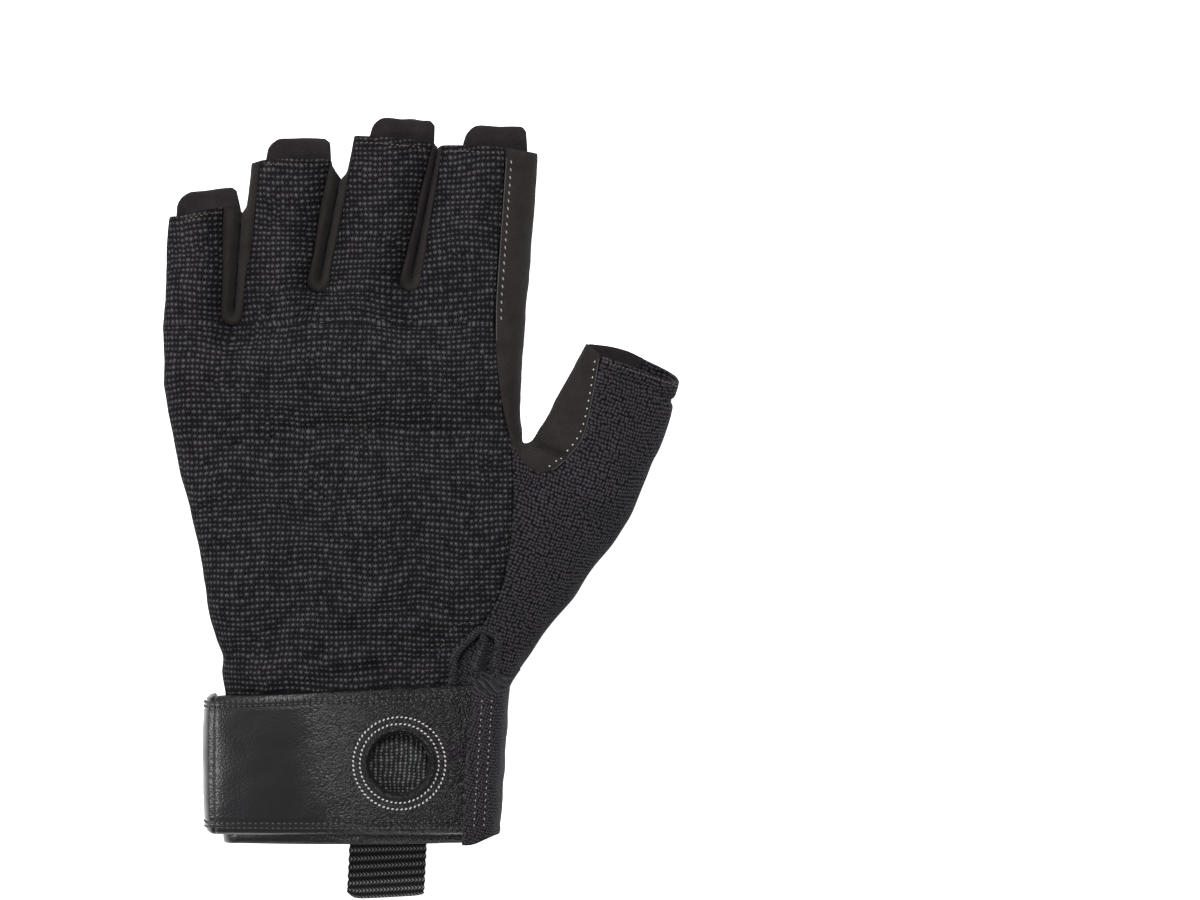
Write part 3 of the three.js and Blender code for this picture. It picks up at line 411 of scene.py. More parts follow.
# %% [markdown]
# The glove's panels have real walls, from 0.8 to 2 millimetres. A wall could be a second surface made by
# hand, but Solidify grows it inwards from the outer one and closes the edges too. The size that every panel
# would be cut to is also worked out and printed.

# %% Making a Blender object of a surface
collection = bpy.context.scene.collection


def faces_of(surface):
    """The cells with four corners, those at a pole as triangles, and the cloth coordinates of both."""
    cells, cloth = surface["cells"], surface["cloth"]
    same = cells == np.roll(cells, -1, axis=1)
    pole = same.any(axis=1)
    keep = (same[pole].argmax(axis=1)[:, None] + np.arange(1, 4)) % 4
    triangles = np.take_along_axis(cells[pole], keep, axis=1)
    corners = np.take_along_axis(cloth[pole], keep[..., None], axis=1)
    cloth = np.concatenate([cloth[~pole].reshape(-1, 2), corners.reshape(-1, 2)])
    return cells[~pole].tolist() + triangles.tolist(), cloth


def put(name, surface, material, wall, replaces=()):
    """A mesh in metres in the glove's frame, with its cloth coordinates and a wall grown inwards."""
    mesh = bpy.data.meshes.new(name)
    places = (surface["points"] - PATTERN_CENTRE) * MM
    faces, cloth = faces_of(surface)
    mesh.from_pydata(places.tolist(), [], faces)
    mesh.uv_layers.new(name="cloth").data.foreach_set("uv", cloth.reshape(-1))
    mesh.polygons.foreach_set("use_smooth", np.ones(len(mesh.polygons), bool))
    mesh.materials.append(material)
    made = bpy.data.objects.new(name, mesh)
    collection.objects.link(made)
    if wall:
        thick = made.modifiers.new("wall", "SOLIDIFY")
        thick.thickness = wall * MM
        thick.offset = -1
    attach(made, "root")
    if replaces:
        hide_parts(*replaces)
    print(f"{name}: {len(mesh.polygons)} cells")
    return made


def cut_from(piece, surface):
    """Prints a panel's cut as cloth. Its cut is as wide and long as its cloth coordinates reach, and its
    flat area is that of the surface, half the length of each cell's crossed diagonals."""
    points, cells = surface["points"], surface["cells"]
    crossed = np.cross(points[cells[:, 2]] - points[cells[:, 0]], points[cells[:, 3]] - points[cells[:, 1]])
    area = float(np.linalg.norm(crossed, axis=1).sum() / 2) * MM * MM
    width, length = np.ptp(surface["cloth"].reshape(-1, 2), axis=0).tolist()
    stretch = max(1.0, math.sqrt(area / (width * length)))
    width, length = width * stretch, length * stretch
    print(f"{piece.name}: cut {width * 1000:.0f} x {length * 1000:.0f} mm, {area * 1e4:.0f} square cm")


print("sheets and stitches go into the collection", collection.name)

# %% [markdown]
# Cloth, suede and leather are told apart here by the way they break up light, since all are nearly black.
# Pictures of cloth could be wrapped on, but they blur up close and repeat. Each material is a small network
# instead: a pattern in the cloth's own coordinates gives height for the bump and mixes two tones.

# %% Small helpers for materials
def node(tree, kind, inputs=None, **settings):
    """A new node with its settings, and with each input linked or set."""
    made = tree.nodes.new(kind)
    for key, value in settings.items():
        setattr(made, key, value)
    for key, value in (inputs or {}).items():
        if isinstance(value, bpy.types.NodeSocket):
            tree.links.new(value, made.inputs[key])
        else:
            made.inputs[key].default_value = value
    return made


def maths(tree, operation, *values, clamp=False):
    made = node(tree, "ShaderNodeMath", dict(enumerate(values)), operation=operation, use_clamp=clamp)
    return made.outputs[0]


def linear(red, green, blue):
    """A colour given in the 0 to 255 steps of a photograph, as light."""
    share = np.array([red, green, blue]) / 255
    light = np.where(share <= 0.04045, share / 12.92, ((share + 0.055) / 1.055) ** 2.4)
    return (*light.tolist(), 1.0)


def new_material(name, roughness, sheen=0.0, specular=0.3):
    """An empty material with its shader."""
    made = bpy.data.materials.new(name)
    made.use_nodes = True
    tree = made.node_tree
    shader = tree.nodes["Principled BSDF"]
    shader.inputs["Roughness"].default_value = roughness
    shader.inputs["Specular IOR Level"].default_value = specular
    shader.inputs["Sheen Weight"].default_value = sheen
    shader.inputs["Sheen Roughness"].default_value = 0.5
    return made, tree, shader


def finish_material(tree, shader, dark, light, mix, height, depth):
    """Mixes two tones by one pattern and bumps the surface by another, which is depth metres high."""
    tone = node(tree, "ShaderNodeMix", {"Factor": mix, "A": dark, "B": light}, data_type="RGBA")
    tree.links.new(tone.outputs[2], shader.inputs["Base Color"])
    bump = node(tree, "ShaderNodeBump", {"Height": height, "Strength": 1.0, "Distance": depth})
    tree.links.new(bump.outputs[0], shader.inputs["Normal"])


def cloth_axes(tree):
    """The cloth's width and length coordinates, in metres."""
    where = node(tree, "ShaderNodeUVMap", uv_map="cloth")
    parts = node(tree, "ShaderNodeSeparateXYZ", {0: where.outputs[0]})
    return where.outputs[0], parts.outputs[0], parts.outputs[1]


def wave(tree, value, period, shift=0.0):
    """Half a cosine's height, from 0 to 1, once each period."""
    turned = maths(tree, "MULTIPLY_ADD", value, 2 * math.pi / period, shift)
    return maths(tree, "MULTIPLY_ADD", maths(tree, "COSINE", turned), 0.5, 0.5)


def noise(tree, vector, scale, detail=2.0, rough=0.5):
    made = node(tree, "ShaderNodeTexNoise",
                {"Vector": vector, "Scale": scale, "Detail": detail, "Roughness": rough})
    return made.outputs[0]


print("a grey of 45 steps is", round(linear(45, 45, 45)[0], 4), "as light")

# %% [markdown]
# The back is a spongy knit whose face is a grid of small raised bars, a little wider than they are high,
# with pits between them. Real loops would take millions of faces, so two waves that cross make the
# bars as bump and tone. The tone is painted light: a painted highlight on each bar and painted shade in the
# pits. No two bars catch the same light, so each bar's painted highlight has its own strength by chance.

# %% Knit of the back
def knit_material(name, column, row, powers, dark, light, depth):
    """powers sharpen the bars across and the ribs along. Where a slow noise is high, every second column
    steps up by part of a row, as the knit does where it is stretched."""
    made, tree, shader = new_material(name, 0.95, specular=0.02)
    where, across, along = cloth_axes(tree)
    along = maths(tree, "MULTIPLY_ADD", noise(tree, where, 42.0, 1.0), 0.0055, along)
    along = maths(tree, "MULTIPLY_ADD", noise(tree, where, 420.0, 2.0), row * 0.45, along)
    across = maths(tree, "MULTIPLY_ADD", noise(tree, where, 55.0, 1.0), 0.003, across)
    across = maths(tree, "MULTIPLY_ADD", noise(tree, where, 330.0, 2.0), column * 0.9, across)
    stretched = maths(tree, "MULTIPLY_ADD", noise(tree, where, 75.0, 1.0), 4.0, -2.1, clamp=True)
    step = maths(tree, "MULTIPLY", wave(tree, across, 2 * column), stretched)
    step = maths(tree, "MULTIPLY", step, row * 0.4)
    along = maths(tree, "ADD", along, step)
    cell = node(tree, "ShaderNodeCombineXYZ", {
        0: maths(tree, "ROUND", maths(tree, "DIVIDE", across, column)),
        1: maths(tree, "ROUND", maths(tree, "DIVIDE", along, row))})
    chance = node(tree, "ShaderNodeTexWhiteNoise", {"Vector": cell.outputs[0]}).outputs[0]
    bars = maths(tree, "POWER", wave(tree, along, row), powers[0])
    ribs = maths(tree, "POWER", wave(tree, across, column), powers[1])
    dots = maths(tree, "MULTIPLY", bars, ribs)
    links = maths(tree, "POWER", wave(tree, across, column / 2), 3.0)
    links = maths(tree, "MULTIPLY", links, maths(tree, "MULTIPLY_ADD", wave(tree, along, row), -0.22, 0.22))
    fibre = noise(tree, where, 2100.0, 3.0, 0.75)
    uneven = maths(tree, "MULTIPLY", maths(tree, "MULTIPLY_ADD", chance, 1.1, 0.45),
                   maths(tree, "MULTIPLY_ADD", fibre, 3.0, -0.5, clamp=True))
    patch = maths(tree, "MULTIPLY_ADD", noise(tree, where, 90.0), 1.1, 0.6)
    # The mix is painted light: a painted highlight on the bars' tops and painted shade in the pits. Each
    # bar's highlight is varied by chance, and slow patches vary at random.
    mix = maths(tree, "MULTIPLY", maths(tree, "ADD", dots, links), uneven)
    mix = maths(tree, "MULTIPLY", mix, patch, clamp=True)
    finish_material(tree, shader, dark, light, mix, dots, depth)
    return made


KNIT = knit_material("back_knit", 0.00124, 0.00146, (1.8, 0.75),
                     linear(11, 10, 12), linear(72, 70, 72), 0.0004)
LOOPS = knit_material("wrist_loop_knit", 0.0012, 0.00085, (0.6, 1.6),
                      linear(14, 14, 15), linear(104, 105, 106), 0.0004)
print("knits:", KNIT.name, LOOPS.name)

# %% [markdown]
# The palm, the strips between the fingers and the tabs are suede: a short nap with no gloss, darker where
# it was brushed the other way. Hair strands would be true to life and far too heavy for a nap this short,
# so fine noise is the nap and slow noise the brushed patches.

# %% Suede
def suede_material(name, dark, light):
    """Short nap: fine grain over soft brushed patches."""
    made, tree, shader = new_material(name, 0.95, sheen=0.02, specular=0.03)
    where = node(tree, "ShaderNodeTexCoord").outputs["Object"]
    nap = noise(tree, where, 2300.0, 4.0, 0.75)
    brushed = noise(tree, where, 190.0, 3.0, 0.6)
    mix = maths(tree, "ADD", maths(tree, "MULTIPLY", nap, 0.62), maths(tree, "MULTIPLY", brushed, 0.38))
    mix = maths(tree, "MULTIPLY_ADD", mix, 2.6, -0.8, clamp=True)
    finish_material(tree, shader, dark, light, mix, nap, 0.00011)
    return made


SIDE_SUEDE = suede_material("side_suede", linear(28, 25, 25), linear(45, 41, 41))
PALM_SUEDE = suede_material("palm_suede", linear(26, 23, 24), linear(44, 40, 42))
print("suedes:", SIDE_SUEDE.name, PALM_SUEDE.name)

# %% [markdown]
# The thumb is wrapped in a looped knit like towelling. Its loops stand in loose rows, so neither a regular
# wave nor plain noise looks right. Cells round points that stray a little from a square grid do.

# %% Looped knit material
def terry_material(name, loop_size, uneven, dark, light, depth):
    """Tiny loops in rows across the thumb, with a little wander. uneven is how much the loops differ. The
    rows are turned by 20 degrees. Height counts as width, so that the loops keep their size on the
    side."""
    made, tree, shader = new_material(name, 0.95, sheen=0.04, specular=0.03)
    where = node(tree, "ShaderNodeTexCoord").outputs["Object"]
    turned = node(tree, "ShaderNodeMapping", {"Vector": where, "Rotation": (0, 0, math.radians(20))})
    swayed = node(tree, "ShaderNodeTexNoise", {"Vector": where, "Scale": 160.0, "Detail": 1.0})
    sway = node(tree, "ShaderNodeVectorMath", {0: swayed.outputs[1], 1: (loop_size * 1.5,) * 3},
                operation="MULTIPLY")
    place = node(tree, "ShaderNodeVectorMath", {0: turned.outputs[0], 1: sway.outputs[0]}, operation="ADD")
    parts = node(tree, "ShaderNodeSeparateXYZ", {0: place.outputs[0]})
    aside = maths(tree, "MULTIPLY_ADD", parts.outputs[2], -0.85, parts.outputs[0])
    along = maths(tree, "MULTIPLY_ADD", parts.outputs[2], 0.29, parts.outputs[1])
    flat = node(tree, "ShaderNodeCombineXYZ", {0: aside, 1: along})
    rows = wave(tree, along, loop_size)
    cells = node(tree, "ShaderNodeTexVoronoi", {"Vector": flat.outputs[0], "Scale": 1 / loop_size,
                                                "Randomness": 0.4}, voronoi_dimensions="2D")
    loops = maths(tree, "SUBTRACT", 1.0, maths(tree, "MULTIPLY", cells.outputs["Distance"], 1.8), clamp=True)
    fibre = noise(tree, where, 2600.0, 3.0, 0.7)
    height = maths(tree, "MULTIPLY", maths(tree, "MULTIPLY_ADD", rows, 0.45, 0.55), loops)
    patch = maths(tree, "MULTIPLY_ADD", noise(tree, where, 110.0), uneven, 1.0 - uneven / 2)
    # The tone follows the loops' height: a painted highlight on each loop's top and painted shade between
    # the loops, with patches and fibre that vary at random.
    mix = maths(tree, "MULTIPLY", maths(tree, "MULTIPLY", height, patch),
                maths(tree, "MULTIPLY_ADD", fibre, 2.0 * uneven, 1.0 - uneven), clamp=True)
    finish_material(tree, shader, dark, light, mix, height, depth)
    return made


TERRY = terry_material("thumb_terry", 0.00094, 0.6, linear(12, 11, 13), linear(72, 69, 75), 0.00032)
BOUND_KNIT = terry_material("wrist_fine_knit", 0.00075, 0.5, linear(19, 18, 20), linear(68, 66, 70), 0.00016)
print("looped knits:", TERRY.name, BOUND_KNIT.name)

# %% [markdown]
# The strap is coated leather, the one glossy thing on the glove. Pebbled grain is what rounded cells give,
# and a fine noise between them keeps the gloss from looking like plastic. The grain shows most round the
# hole.

# %% Leather
def leather_material():
    """Coated leather. Its pebbles are pressed flat on the free half and show round the hole. The coat's
    soft gloss varies with a fine grain."""
    made, tree, shader = new_material("strap_leather", 0.4, specular=0.32)
    where = node(tree, "ShaderNodeTexCoord").outputs["Object"]
    parts = node(tree, "ShaderNodeSeparateXYZ", {0: where})
    shown = node(tree, "ShaderNodeMapRange",
                 {"Value": parts.outputs[0], "From Min": -0.034, "From Max": -0.010, "To Min": 0.12,
                  "To Max": 1.0})
    pebbles = node(tree, "ShaderNodeTexVoronoi", {"Vector": where, "Scale": 1900.0, "Smoothness": 0.3},
                   feature="SMOOTH_F1")
    fine = noise(tree, where, 2400.0, 3.0, 0.6)
    worn = noise(tree, where, 45.0, 2.0)
    height = maths(tree, "MULTIPLY", fine, 0.5)
    height = maths(tree, "MULTIPLY_ADD", pebbles.outputs["Distance"], -1.6, height)
    strength = maths(tree, "MULTIPLY", shown.outputs[0], maths(tree, "MULTIPLY_ADD", worn, 1.2, 0.4))
    height = maths(tree, "MULTIPLY", height, strength)
    mix = maths(tree, "MULTIPLY_ADD", worn, 1.6, -0.3, clamp=True)
    rough = node(tree, "ShaderNodeMapRange", {"Value": fine, "To Min": 0.24, "To Max": 0.42})
    tree.links.new(rough.outputs[0], shader.inputs["Roughness"])
    finish_material(tree, shader, linear(13, 11, 13), linear(22, 19, 22), mix, height, 0.0003)
    return made


LEATHER = leather_material()
print("leather:", LEATHER.name)

# %% [markdown]
# The band under the wrist is an elastic with a slanting twill, and the pull loop is flat webbing with
# strong ribs across it. Both follow their own piece's length, so they are drawn in the cloth's coordinates,
# and would slide over the folds in any other.

# %% Elastic and webbing
def twill_material(name, period, slope, dark, light, depth):
    """Slanting ribs, cut into short threads along each rib."""
    made, tree, shader = new_material(name, 0.9, specular=0.03)
    where, across, along = cloth_axes(tree)
    slant = maths(tree, "MULTIPLY_ADD", across, slope, along)
    ribs = wave(tree, slant, period)
    threads = wave(tree, across, period * 0.55)
    fibre = noise(tree, where, 3000.0, 3.0, 0.7)
    height = maths(tree, "MULTIPLY", ribs, maths(tree, "MULTIPLY_ADD", threads, 0.3, 0.7))
    # The tone follows the ribs' height: painted light on the ribs and painted shade in the grooves between
    # them, with a fibre that varies at random.
    mix = maths(tree, "MULTIPLY", height, maths(tree, "MULTIPLY_ADD", fibre, 1.4, 0.2), clamp=True)
    finish_material(tree, shader, dark, light, mix, height, depth)
    return made


def webbing_material(name, rib, thread):
    """The threads of each rib lean one way on its near side and the other way on its far side. The tone is
    painted
    light: only the rib's crown is painted lit, and the groove between two ribs is painted black as shade."""
    made, tree, shader = new_material(name, 0.8, specular=0.12)
    where, across, along = cloth_axes(tree)
    share = maths(tree, "DIVIDE", along, rib)
    zigzag = maths(tree, "PINGPONG", share, 0.5)
    lean = maths(tree, "MULTIPLY_ADD", zigzag, rib * 1.1, across)
    threads = wave(tree, lean, thread)
    crown = wave(tree, along, rib)
    fibre = noise(tree, where, 3500.0, 3.0, 0.7)
    raised = maths(tree, "MULTIPLY_ADD", threads, 0.5, 0.5)
    height = maths(tree, "MULTIPLY", maths(tree, "POWER", crown, 0.7), raised)
    # Painted highlight on the crowns and painted shade in the grooves.
    mix = maths(tree, "MULTIPLY", maths(tree, "POWER", crown, 2.2), maths(tree, "POWER", threads, 3.0))
    mix = maths(tree, "MULTIPLY", mix, maths(tree, "MULTIPLY_ADD", fibre, 2.6, -0.3), clamp=True)
    finish_material(tree, shader, linear(14, 14, 15), linear(142, 139, 138), mix, height, 0.00035)
    return made


WEBBING_RIB = 2.08
ELASTIC = twill_material("cuff_elastic", 0.0016, 1.0, linear(12, 12, 13), linear(62, 60, 63), 0.0004)
WEBBING = webbing_material("pull_webbing", WEBBING_RIB * MM, 0.0009)
print(f"webbing: one rib each {WEBBING_RIB} mm")

# %% [markdown]
# Thread is thin enough that its twist only shows as a change of tone along it. A fine noise between two
# close tones does that. The real glove has light, grey, brown and black threads in different seams.

# %% Thread
def thread_material(name, tone):
    """Two plies twisted: a fine grain in two close tones, with a little gloss."""
    made, tree, shader = new_material(name, 0.5, specular=0.35)
    where = node(tree, "ShaderNodeTexCoord").outputs["Object"]
    twist = noise(tree, where, 3000.0, 2.0)
    darker = (tone[0] * 0.6, tone[1] * 0.6, tone[2] * 0.6, 1.0)
    finish_material(tree, shader, darker, tone, twist, twist, 0.00005)
    return made


WHITE_THREAD = thread_material("white_thread", linear(206, 204, 200))
LIGHT_THREAD = thread_material("light_thread", linear(150, 147, 142))
GREY_THREAD = thread_material("grey_thread", linear(70, 68, 70))
BLACK_THREAD = thread_material("black_thread", linear(8, 8, 9))
BROWN_THREAD = thread_material("brown_thread", linear(84, 72, 62))
print("materials:", len(bpy.data.materials))

# %% [markdown]
# A stitch is a short length of thread that lies on the cloth and dives in at both ends. Lines drawn in a
# material would look flat where light grazes them, so the stitches are real. Hundreds of them share one
# small shape, a capsule. Each is set down where a ray from above, or the nearest point, finds the cloth.

# %% Stitches
def evenly(route, pitch, start=0.5):
    """Places along a route of straight pieces, about one pitch apart, and the direction at each. The first
    is a part of the pitch from the start."""
    route = np.asarray(route, float)
    runs = np.concatenate([[0], np.cumsum(np.linalg.norm(np.diff(route, axis=0), axis=1))])
    count = max(2, round(runs[-1] / pitch))
    spots = (np.arange(count) + start) / count * runs[-1]
    before, here, after = (np.stack([np.interp(spots + shift, runs, column) for column in route.T], -1)
                           for shift in (-0.1, 0, 0.1))
    return here, after - before


def capsule(sides=6):
    """Rings along a line of length one, each as large as the fourth-power oval is there."""
    along = np.array([0, 0.04, 0.2, 0.5, 0.8, 0.96, 1.0])
    size = (1 - np.abs(2 * along - 1) ** 4) ** 0.5
    turn = np.linspace(0, 2 * np.pi, sides + 1)[None, :]
    dive = -0.8 * np.abs(2 * along - 1)[:, None] ** 3
    size = size[:, None]
    return stack(along[:, None] - 0.5, size * np.cos(turn), size * np.sin(turn) + dive)


def sew(name, surface, routes, thread, pitch=2.0, share=0.7, width=0.4, below=False, slant=0.0,
        start=0.5):
    """Stitches along routes on one surface. share is a stitch's part of the pitch, and slant turns each."""
    tree = BVHTree.FromPolygons(surface["points"].tolist(), surface["cells"].tolist())
    shape, grids = capsule(), []
    for route in routes:
        spots, ways = evenly(route, pitch, start)
        for spot, way in zip(spots, ways):
            if len(spot) == 3:
                place, normal, _, _ = tree.find_nearest(Vector(spot))
            else:
                high, way_in = (-20, 1) if below else (60, -1)
                place, normal, _, _ = tree.ray_cast(Vector((*spot, high)), Vector((0, 0, way_in)))
            if place is None:
                continue
            up = np.array(normal) * (1 if (normal.z < 0) == below or len(spot) == 3 else -1)
            along = np.array([*way, 0.0])[:3]
            along = along - up * (along @ up)
            along /= np.linalg.norm(along)
            aside = np.cross(up, along)
            along, aside = (along * math.cos(slant) + aside * math.sin(slant),
                            aside * math.cos(slant) - along * math.sin(slant))
            axes = np.stack([along * pitch * share, aside * width / 2, up * width / 2])
            grids.append(np.array(place) + shape @ axes)
    made = put(name, join(grids), thread, 0)
    print(f"{name}: {len(grids)} stitches")
    return made


print("one stitch:", capsule().shape[:2], "points")

# %% [markdown]
# The back panel is the four strips and the roll round the little finger's side. Two rows of quilting pull
# it down, and the cloth wrinkles a little above the strap, where the wrist bends. The folds could come from
# a simulation, but then they would lie where it likes. Here each is a soft groove along a short route.

# %% Knit back
UPPER_QUILT = [(-41, 126.2), (-28, 128.4), (-16, 130.6), (-2, 133.6), (38.6, 132.6)]
LOWER_QUILT = [(-38.5, 99.6), (-29.6, 100.9), (-13.2, 104.7), (-6.3, 106), (4, 105.7), (17.3, 105.5),
               (29.6, 103.2), (38.4, 101.8)]
WRIST_FOLDS = [
    {"route": [(-24, 42), (-14, 45.5), (-4, 56), (12, 65)], "height": 1.0, "width": 3.2},
    {"route": [(-19, 40), (-7, 45), (6, 48)], "height": 0.8, "width": 2.4},
    {"route": [(-32, 47), (-20, 52), (-12, 60)], "height": -0.7, "width": 3.0},
    {"route": [(2, 58), (14, 55), (24, 57)], "height": 0.6, "width": 2.4},
    {"route": [(6, 44), (16, 46), (25, 50)], "height": -0.5, "width": 2.2},
    {"route": [(18, 68), (28, 61), (33, 57)], "height": 0.6, "width": 2.2},
    {"route": [(-31, 60), (-24, 70), (-10, 78)], "height": 0.45, "width": 4.0},
    {"route": [(-44, 118), (-30, 121), (-12, 123)], "height": 0.5, "width": 3.0},
    {"route": [(36, 92), (38, 82), (36, 70)], "height": 0.5, "width": 3.0},
]


def tucked(grid):
    """The lowest row again twice, further down the wrist and a little lower, under the strap."""
    steps = np.array([[0, -3.0, -0.9], [0, -1.4, -0.35]])
    return np.concatenate([grid[0][None] + steps[:, None], grid])


def knit_back():
    """The side's roll and the strips joined, with every groove's bell added up and pushed along the
    normals."""
    strips = [tucked(strip) for strip in BACK_STRIPS]
    sides = tucked(little_side(BACK_STRIPS[0][:, 0]))
    grids = [sides, *strips]
    round_side = np.linalg.norm(np.diff(sides[:, ::-1], axis=1), axis=-1)
    round_side = np.concatenate([np.zeros((len(sides), 1)), np.cumsum(round_side, axis=1)], axis=1)[:, ::-1]
    cloth = [np.stack([sides[:, -1:, 0] - round_side, sides[..., 1]], -1) * MM]
    cloth += [strip[..., :2] * MM for strip in strips]
    surface = relax(join(grids, cloth=cloth), 14)
    points = surface["points"]
    height = groove(points, UPPER_QUILT, 0.25, 1.2) + groove(points, UPPER_QUILT, 0.5, 4.0)
    height += groove(points, LOWER_QUILT[1:-1], 1.1, 1.6) + groove(points, LOWER_QUILT[1:-1], 0.8, 5.0)
    for fold in WRIST_FOLDS:
        height -= groove(points, fold["route"], 1.5 * fold["height"], fold["width"])
    height += 0.16 * ripple(points, 14, 5) + 0.05 * ripple(points, 5, 8)
    hem = edge_distance(surface, 1.5)
    height -= 0.22 * (1 - hem / 1.5) ** 2
    return push(surface, height)


BACK = knit_back()
back = put("knit_back", BACK, KNIT, 1.3, ["back_panel"])
cut_from(back, BACK)
hems = [strip[-3, 2:-2, :2] for strip in BACK_STRIPS]
sew("stitches_hems", BACK, hems, BROWN_THREAD, pitch=1.3, share=0.6, width=0.34)
sew("stitches_quilt", BACK, [UPPER_QUILT[2:]], GREY_THREAD, pitch=2.3, share=0.45, width=0.34)
sew("stitches_lower_quilt", BACK, [LOWER_QUILT], BLACK_THREAD, pitch=2.3, share=0.5, width=0.34)

# %% [markdown]
# The palm meets the back along the outline. Its fingers lie close together, so that from above one sees
# only suede between two fingers and not the table. It could be the back's grid pressed flat, but its
# crotches lie further out and its fingers are wider, so it has edges of its own that share the back's rows.

# %% Palm edges
def palm_row(finger, right, y):
    """The palm's y for a row of the back: the crotches of the palm lie a little further out."""
    start = 0.795 * HAND_LENGTH
    line = finger + right
    root = LITTLE_CROTCH if line in (0, 1) else OTHER_CROTCH
    tip_back, tip_palm = tip(finger, "back", right)[1], tip(finger, "palm", right)[1]
    hand = y + WEB_RISE * smoothstep((y - start) / (LITTLE_CROTCH - start))
    past = lerp(root + WEB_RISE, tip_palm, (y - root) / (tip_back - root))
    return np.where(y <= root, hand, past)


def palm_inner_x(y):
    """The palm's edge on the thumb's side, tucked in a little past the thumb's crotch."""
    return outline_x(True, y) - SEAM_TUCK * smoothstep((y - THUMB_CROTCH + 3) / 3)


def palm_line(line, y):
    share = (0, 0.185, 0.425, 0.677, 1)[line]
    return lerp(outline_x(False, y) + SEAM_TUCK, palm_inner_x(y), share)


def palm_edge(finger, right, y):
    """Past its crotch a shared line parts by a hair and the two edges only spread near the shorter tip."""
    line = finger + right
    if line == 0:
        return stack(outline_x(False, y) + SEAM_TUCK, y, SEAM_HEIGHT)
    if line == 4:
        return stack(palm_inner_x(y), y, lerp(BASE, SEAM_HEIGHT, smoothstep((y - THUMB_CROTCH + 4) / 4)))
    root = CROTCHES[line] + WEB_RISE
    rise = (SEAM_HEIGHT - BASE) * smoothstep(1 - (root - y) / VALLEY_REACH)
    ends = [tip(line - 1, "palm", 1), tip(line, "palm", 0)]
    ways = [lerp(palm_line(line, root), x, (y - root) / (end_y - root)) for x, end_y in ends]
    shorter = min(ends[0][1], ends[1][1])
    own = ways[0] if right else ways[1]
    above = (back_edge(line - 1, 1, y)[..., 0] + back_edge(line, 0, y)[..., 0]) / 2
    pinched = lerp((ways[0] + ways[1]) / 2, above, 0.75 * smoothstep((y - root + 6) / 6))
    past_x = lerp(pinched, own, smoothstep((y - shorter + 0.3) / 1.5))
    x = np.where(y <= root, palm_line(line, y), past_x)
    return stack(x, y, np.where(y <= root, BASE + rise, SEAM_HEIGHT))


def palm_strip(finger, columns=25):
    """Flat on the table in the middle and turned up towards the seams with the third power."""
    left_y, right_y = finger_rows(finger)
    left = palm_edge(finger, 0, palm_row(finger, 0, left_y))[:, None]
    right = palm_edge(finger, 1, palm_row(finger, 1, right_y))[:, None]
    share = np.linspace(0, 1, columns)[None, :]
    place = lerp(left, right, share[..., None])
    root = LITTLE_CROTCH if finger == 0 else OTHER_CROTCH
    part = np.clip((left_y - root) / (left_y[-1] - root), 0, 1)[:, None]
    floor = BASE * (1 - smoothstep(part * 2)) + 0.1
    place[..., 2] = lerp(floor, place[..., 2], np.abs(2 * share - 1) ** 3)
    return place


PALM_STRIPS = [palm_strip(finger) for finger in range(4)]
print("palm strips:", [strip.shape[:2] for strip in PALM_STRIPS])

# %% [markdown]
# Seen from below, the palm is quilted with a few rows of stitches over thin padding. Two bells are laid
# along each row: a narrow one for the thread's dent and a wide one for the padding that it holds down.

# %% Suede palm
PALM_QUILTS = [
    [(-39.5, 118.1), (-38, 125.8), (-32.1, 127.2), (13.4, 129)],
    [(-30.1, 112.9), (-26.2, 116.1), (-17.5, 118.1), (10.4, 119.9)],
    [(-17.5, 105), (11.9, 113.4)],
    [(-19.1, 103.2), (24.5, 102.6), (34.7, 105.7)],
    [(-21.1, 92.2), (14.2, 93.5), (-2.7, 70.1), (-33.7, 70.8)],
    [(34.7, 103.7), (28, 90.8), (15, 71.5), (3.2, 58), (-35.2, 58.7)],
]


def suede_palm():
    """The joined strips with the quilting's bells, kept above the table."""
    surface = relax(join(PALM_STRIPS, turned=True), 6)
    points = surface["points"]
    height = np.zeros(len(points))
    for route in PALM_QUILTS:
        height += groove(points, route, 0.5, 1.1) + groove(points, route, 0.35, 3.5)
    height += 0.12 * ripple(points, 18, 3) - 0.1
    hem = edge_distance(surface, 2)
    height -= 0.2 * (1 - hem / 2) ** 2
    push(surface, height)
    surface["points"][:, 2] = np.maximum(surface["points"][:, 2], 0.05)
    return surface


PALM = suede_palm()
palm = put("suede_palm", PALM, PALM_SUEDE, 1.2, ["palm_panel"])
cut_from(palm, PALM)
sew("stitches_palm", PALM, PALM_QUILTS, GREY_THREAD, pitch=2.4, share=0.62, width=0.45, below=True)

# %% [markdown]
# A narrow suede strip, the fourchette, is sewn round each crotch between the back and the palm. From above
# it shows as a lip beside the knit, and then falls steeply into the gap. Straight lines between the two
# layers would look like a cut, so each row is a curve that first rises and then drops.

# %% Strips between the fingers
def crotch_route(finger, right, layer):
    """One finger's side of a crotch from its bottom to the tip, on the back's or the palm's edge."""
    line = finger + right
    root = CROTCHES[line] + (WEB_RISE if layer == "palm" else 0)
    end_y = tip(finger, layer, right)[1]
    bottom = root + CROTCH_RADIUS * (1 - np.cos(np.linspace(0, np.pi / 2, 9)))
    y = np.concatenate([bottom, np.linspace(bottom[-1], end_y, 46)[1:]])
    return palm_edge(finger, right, y) if layer == "palm" else back_edge(finger, right, y)


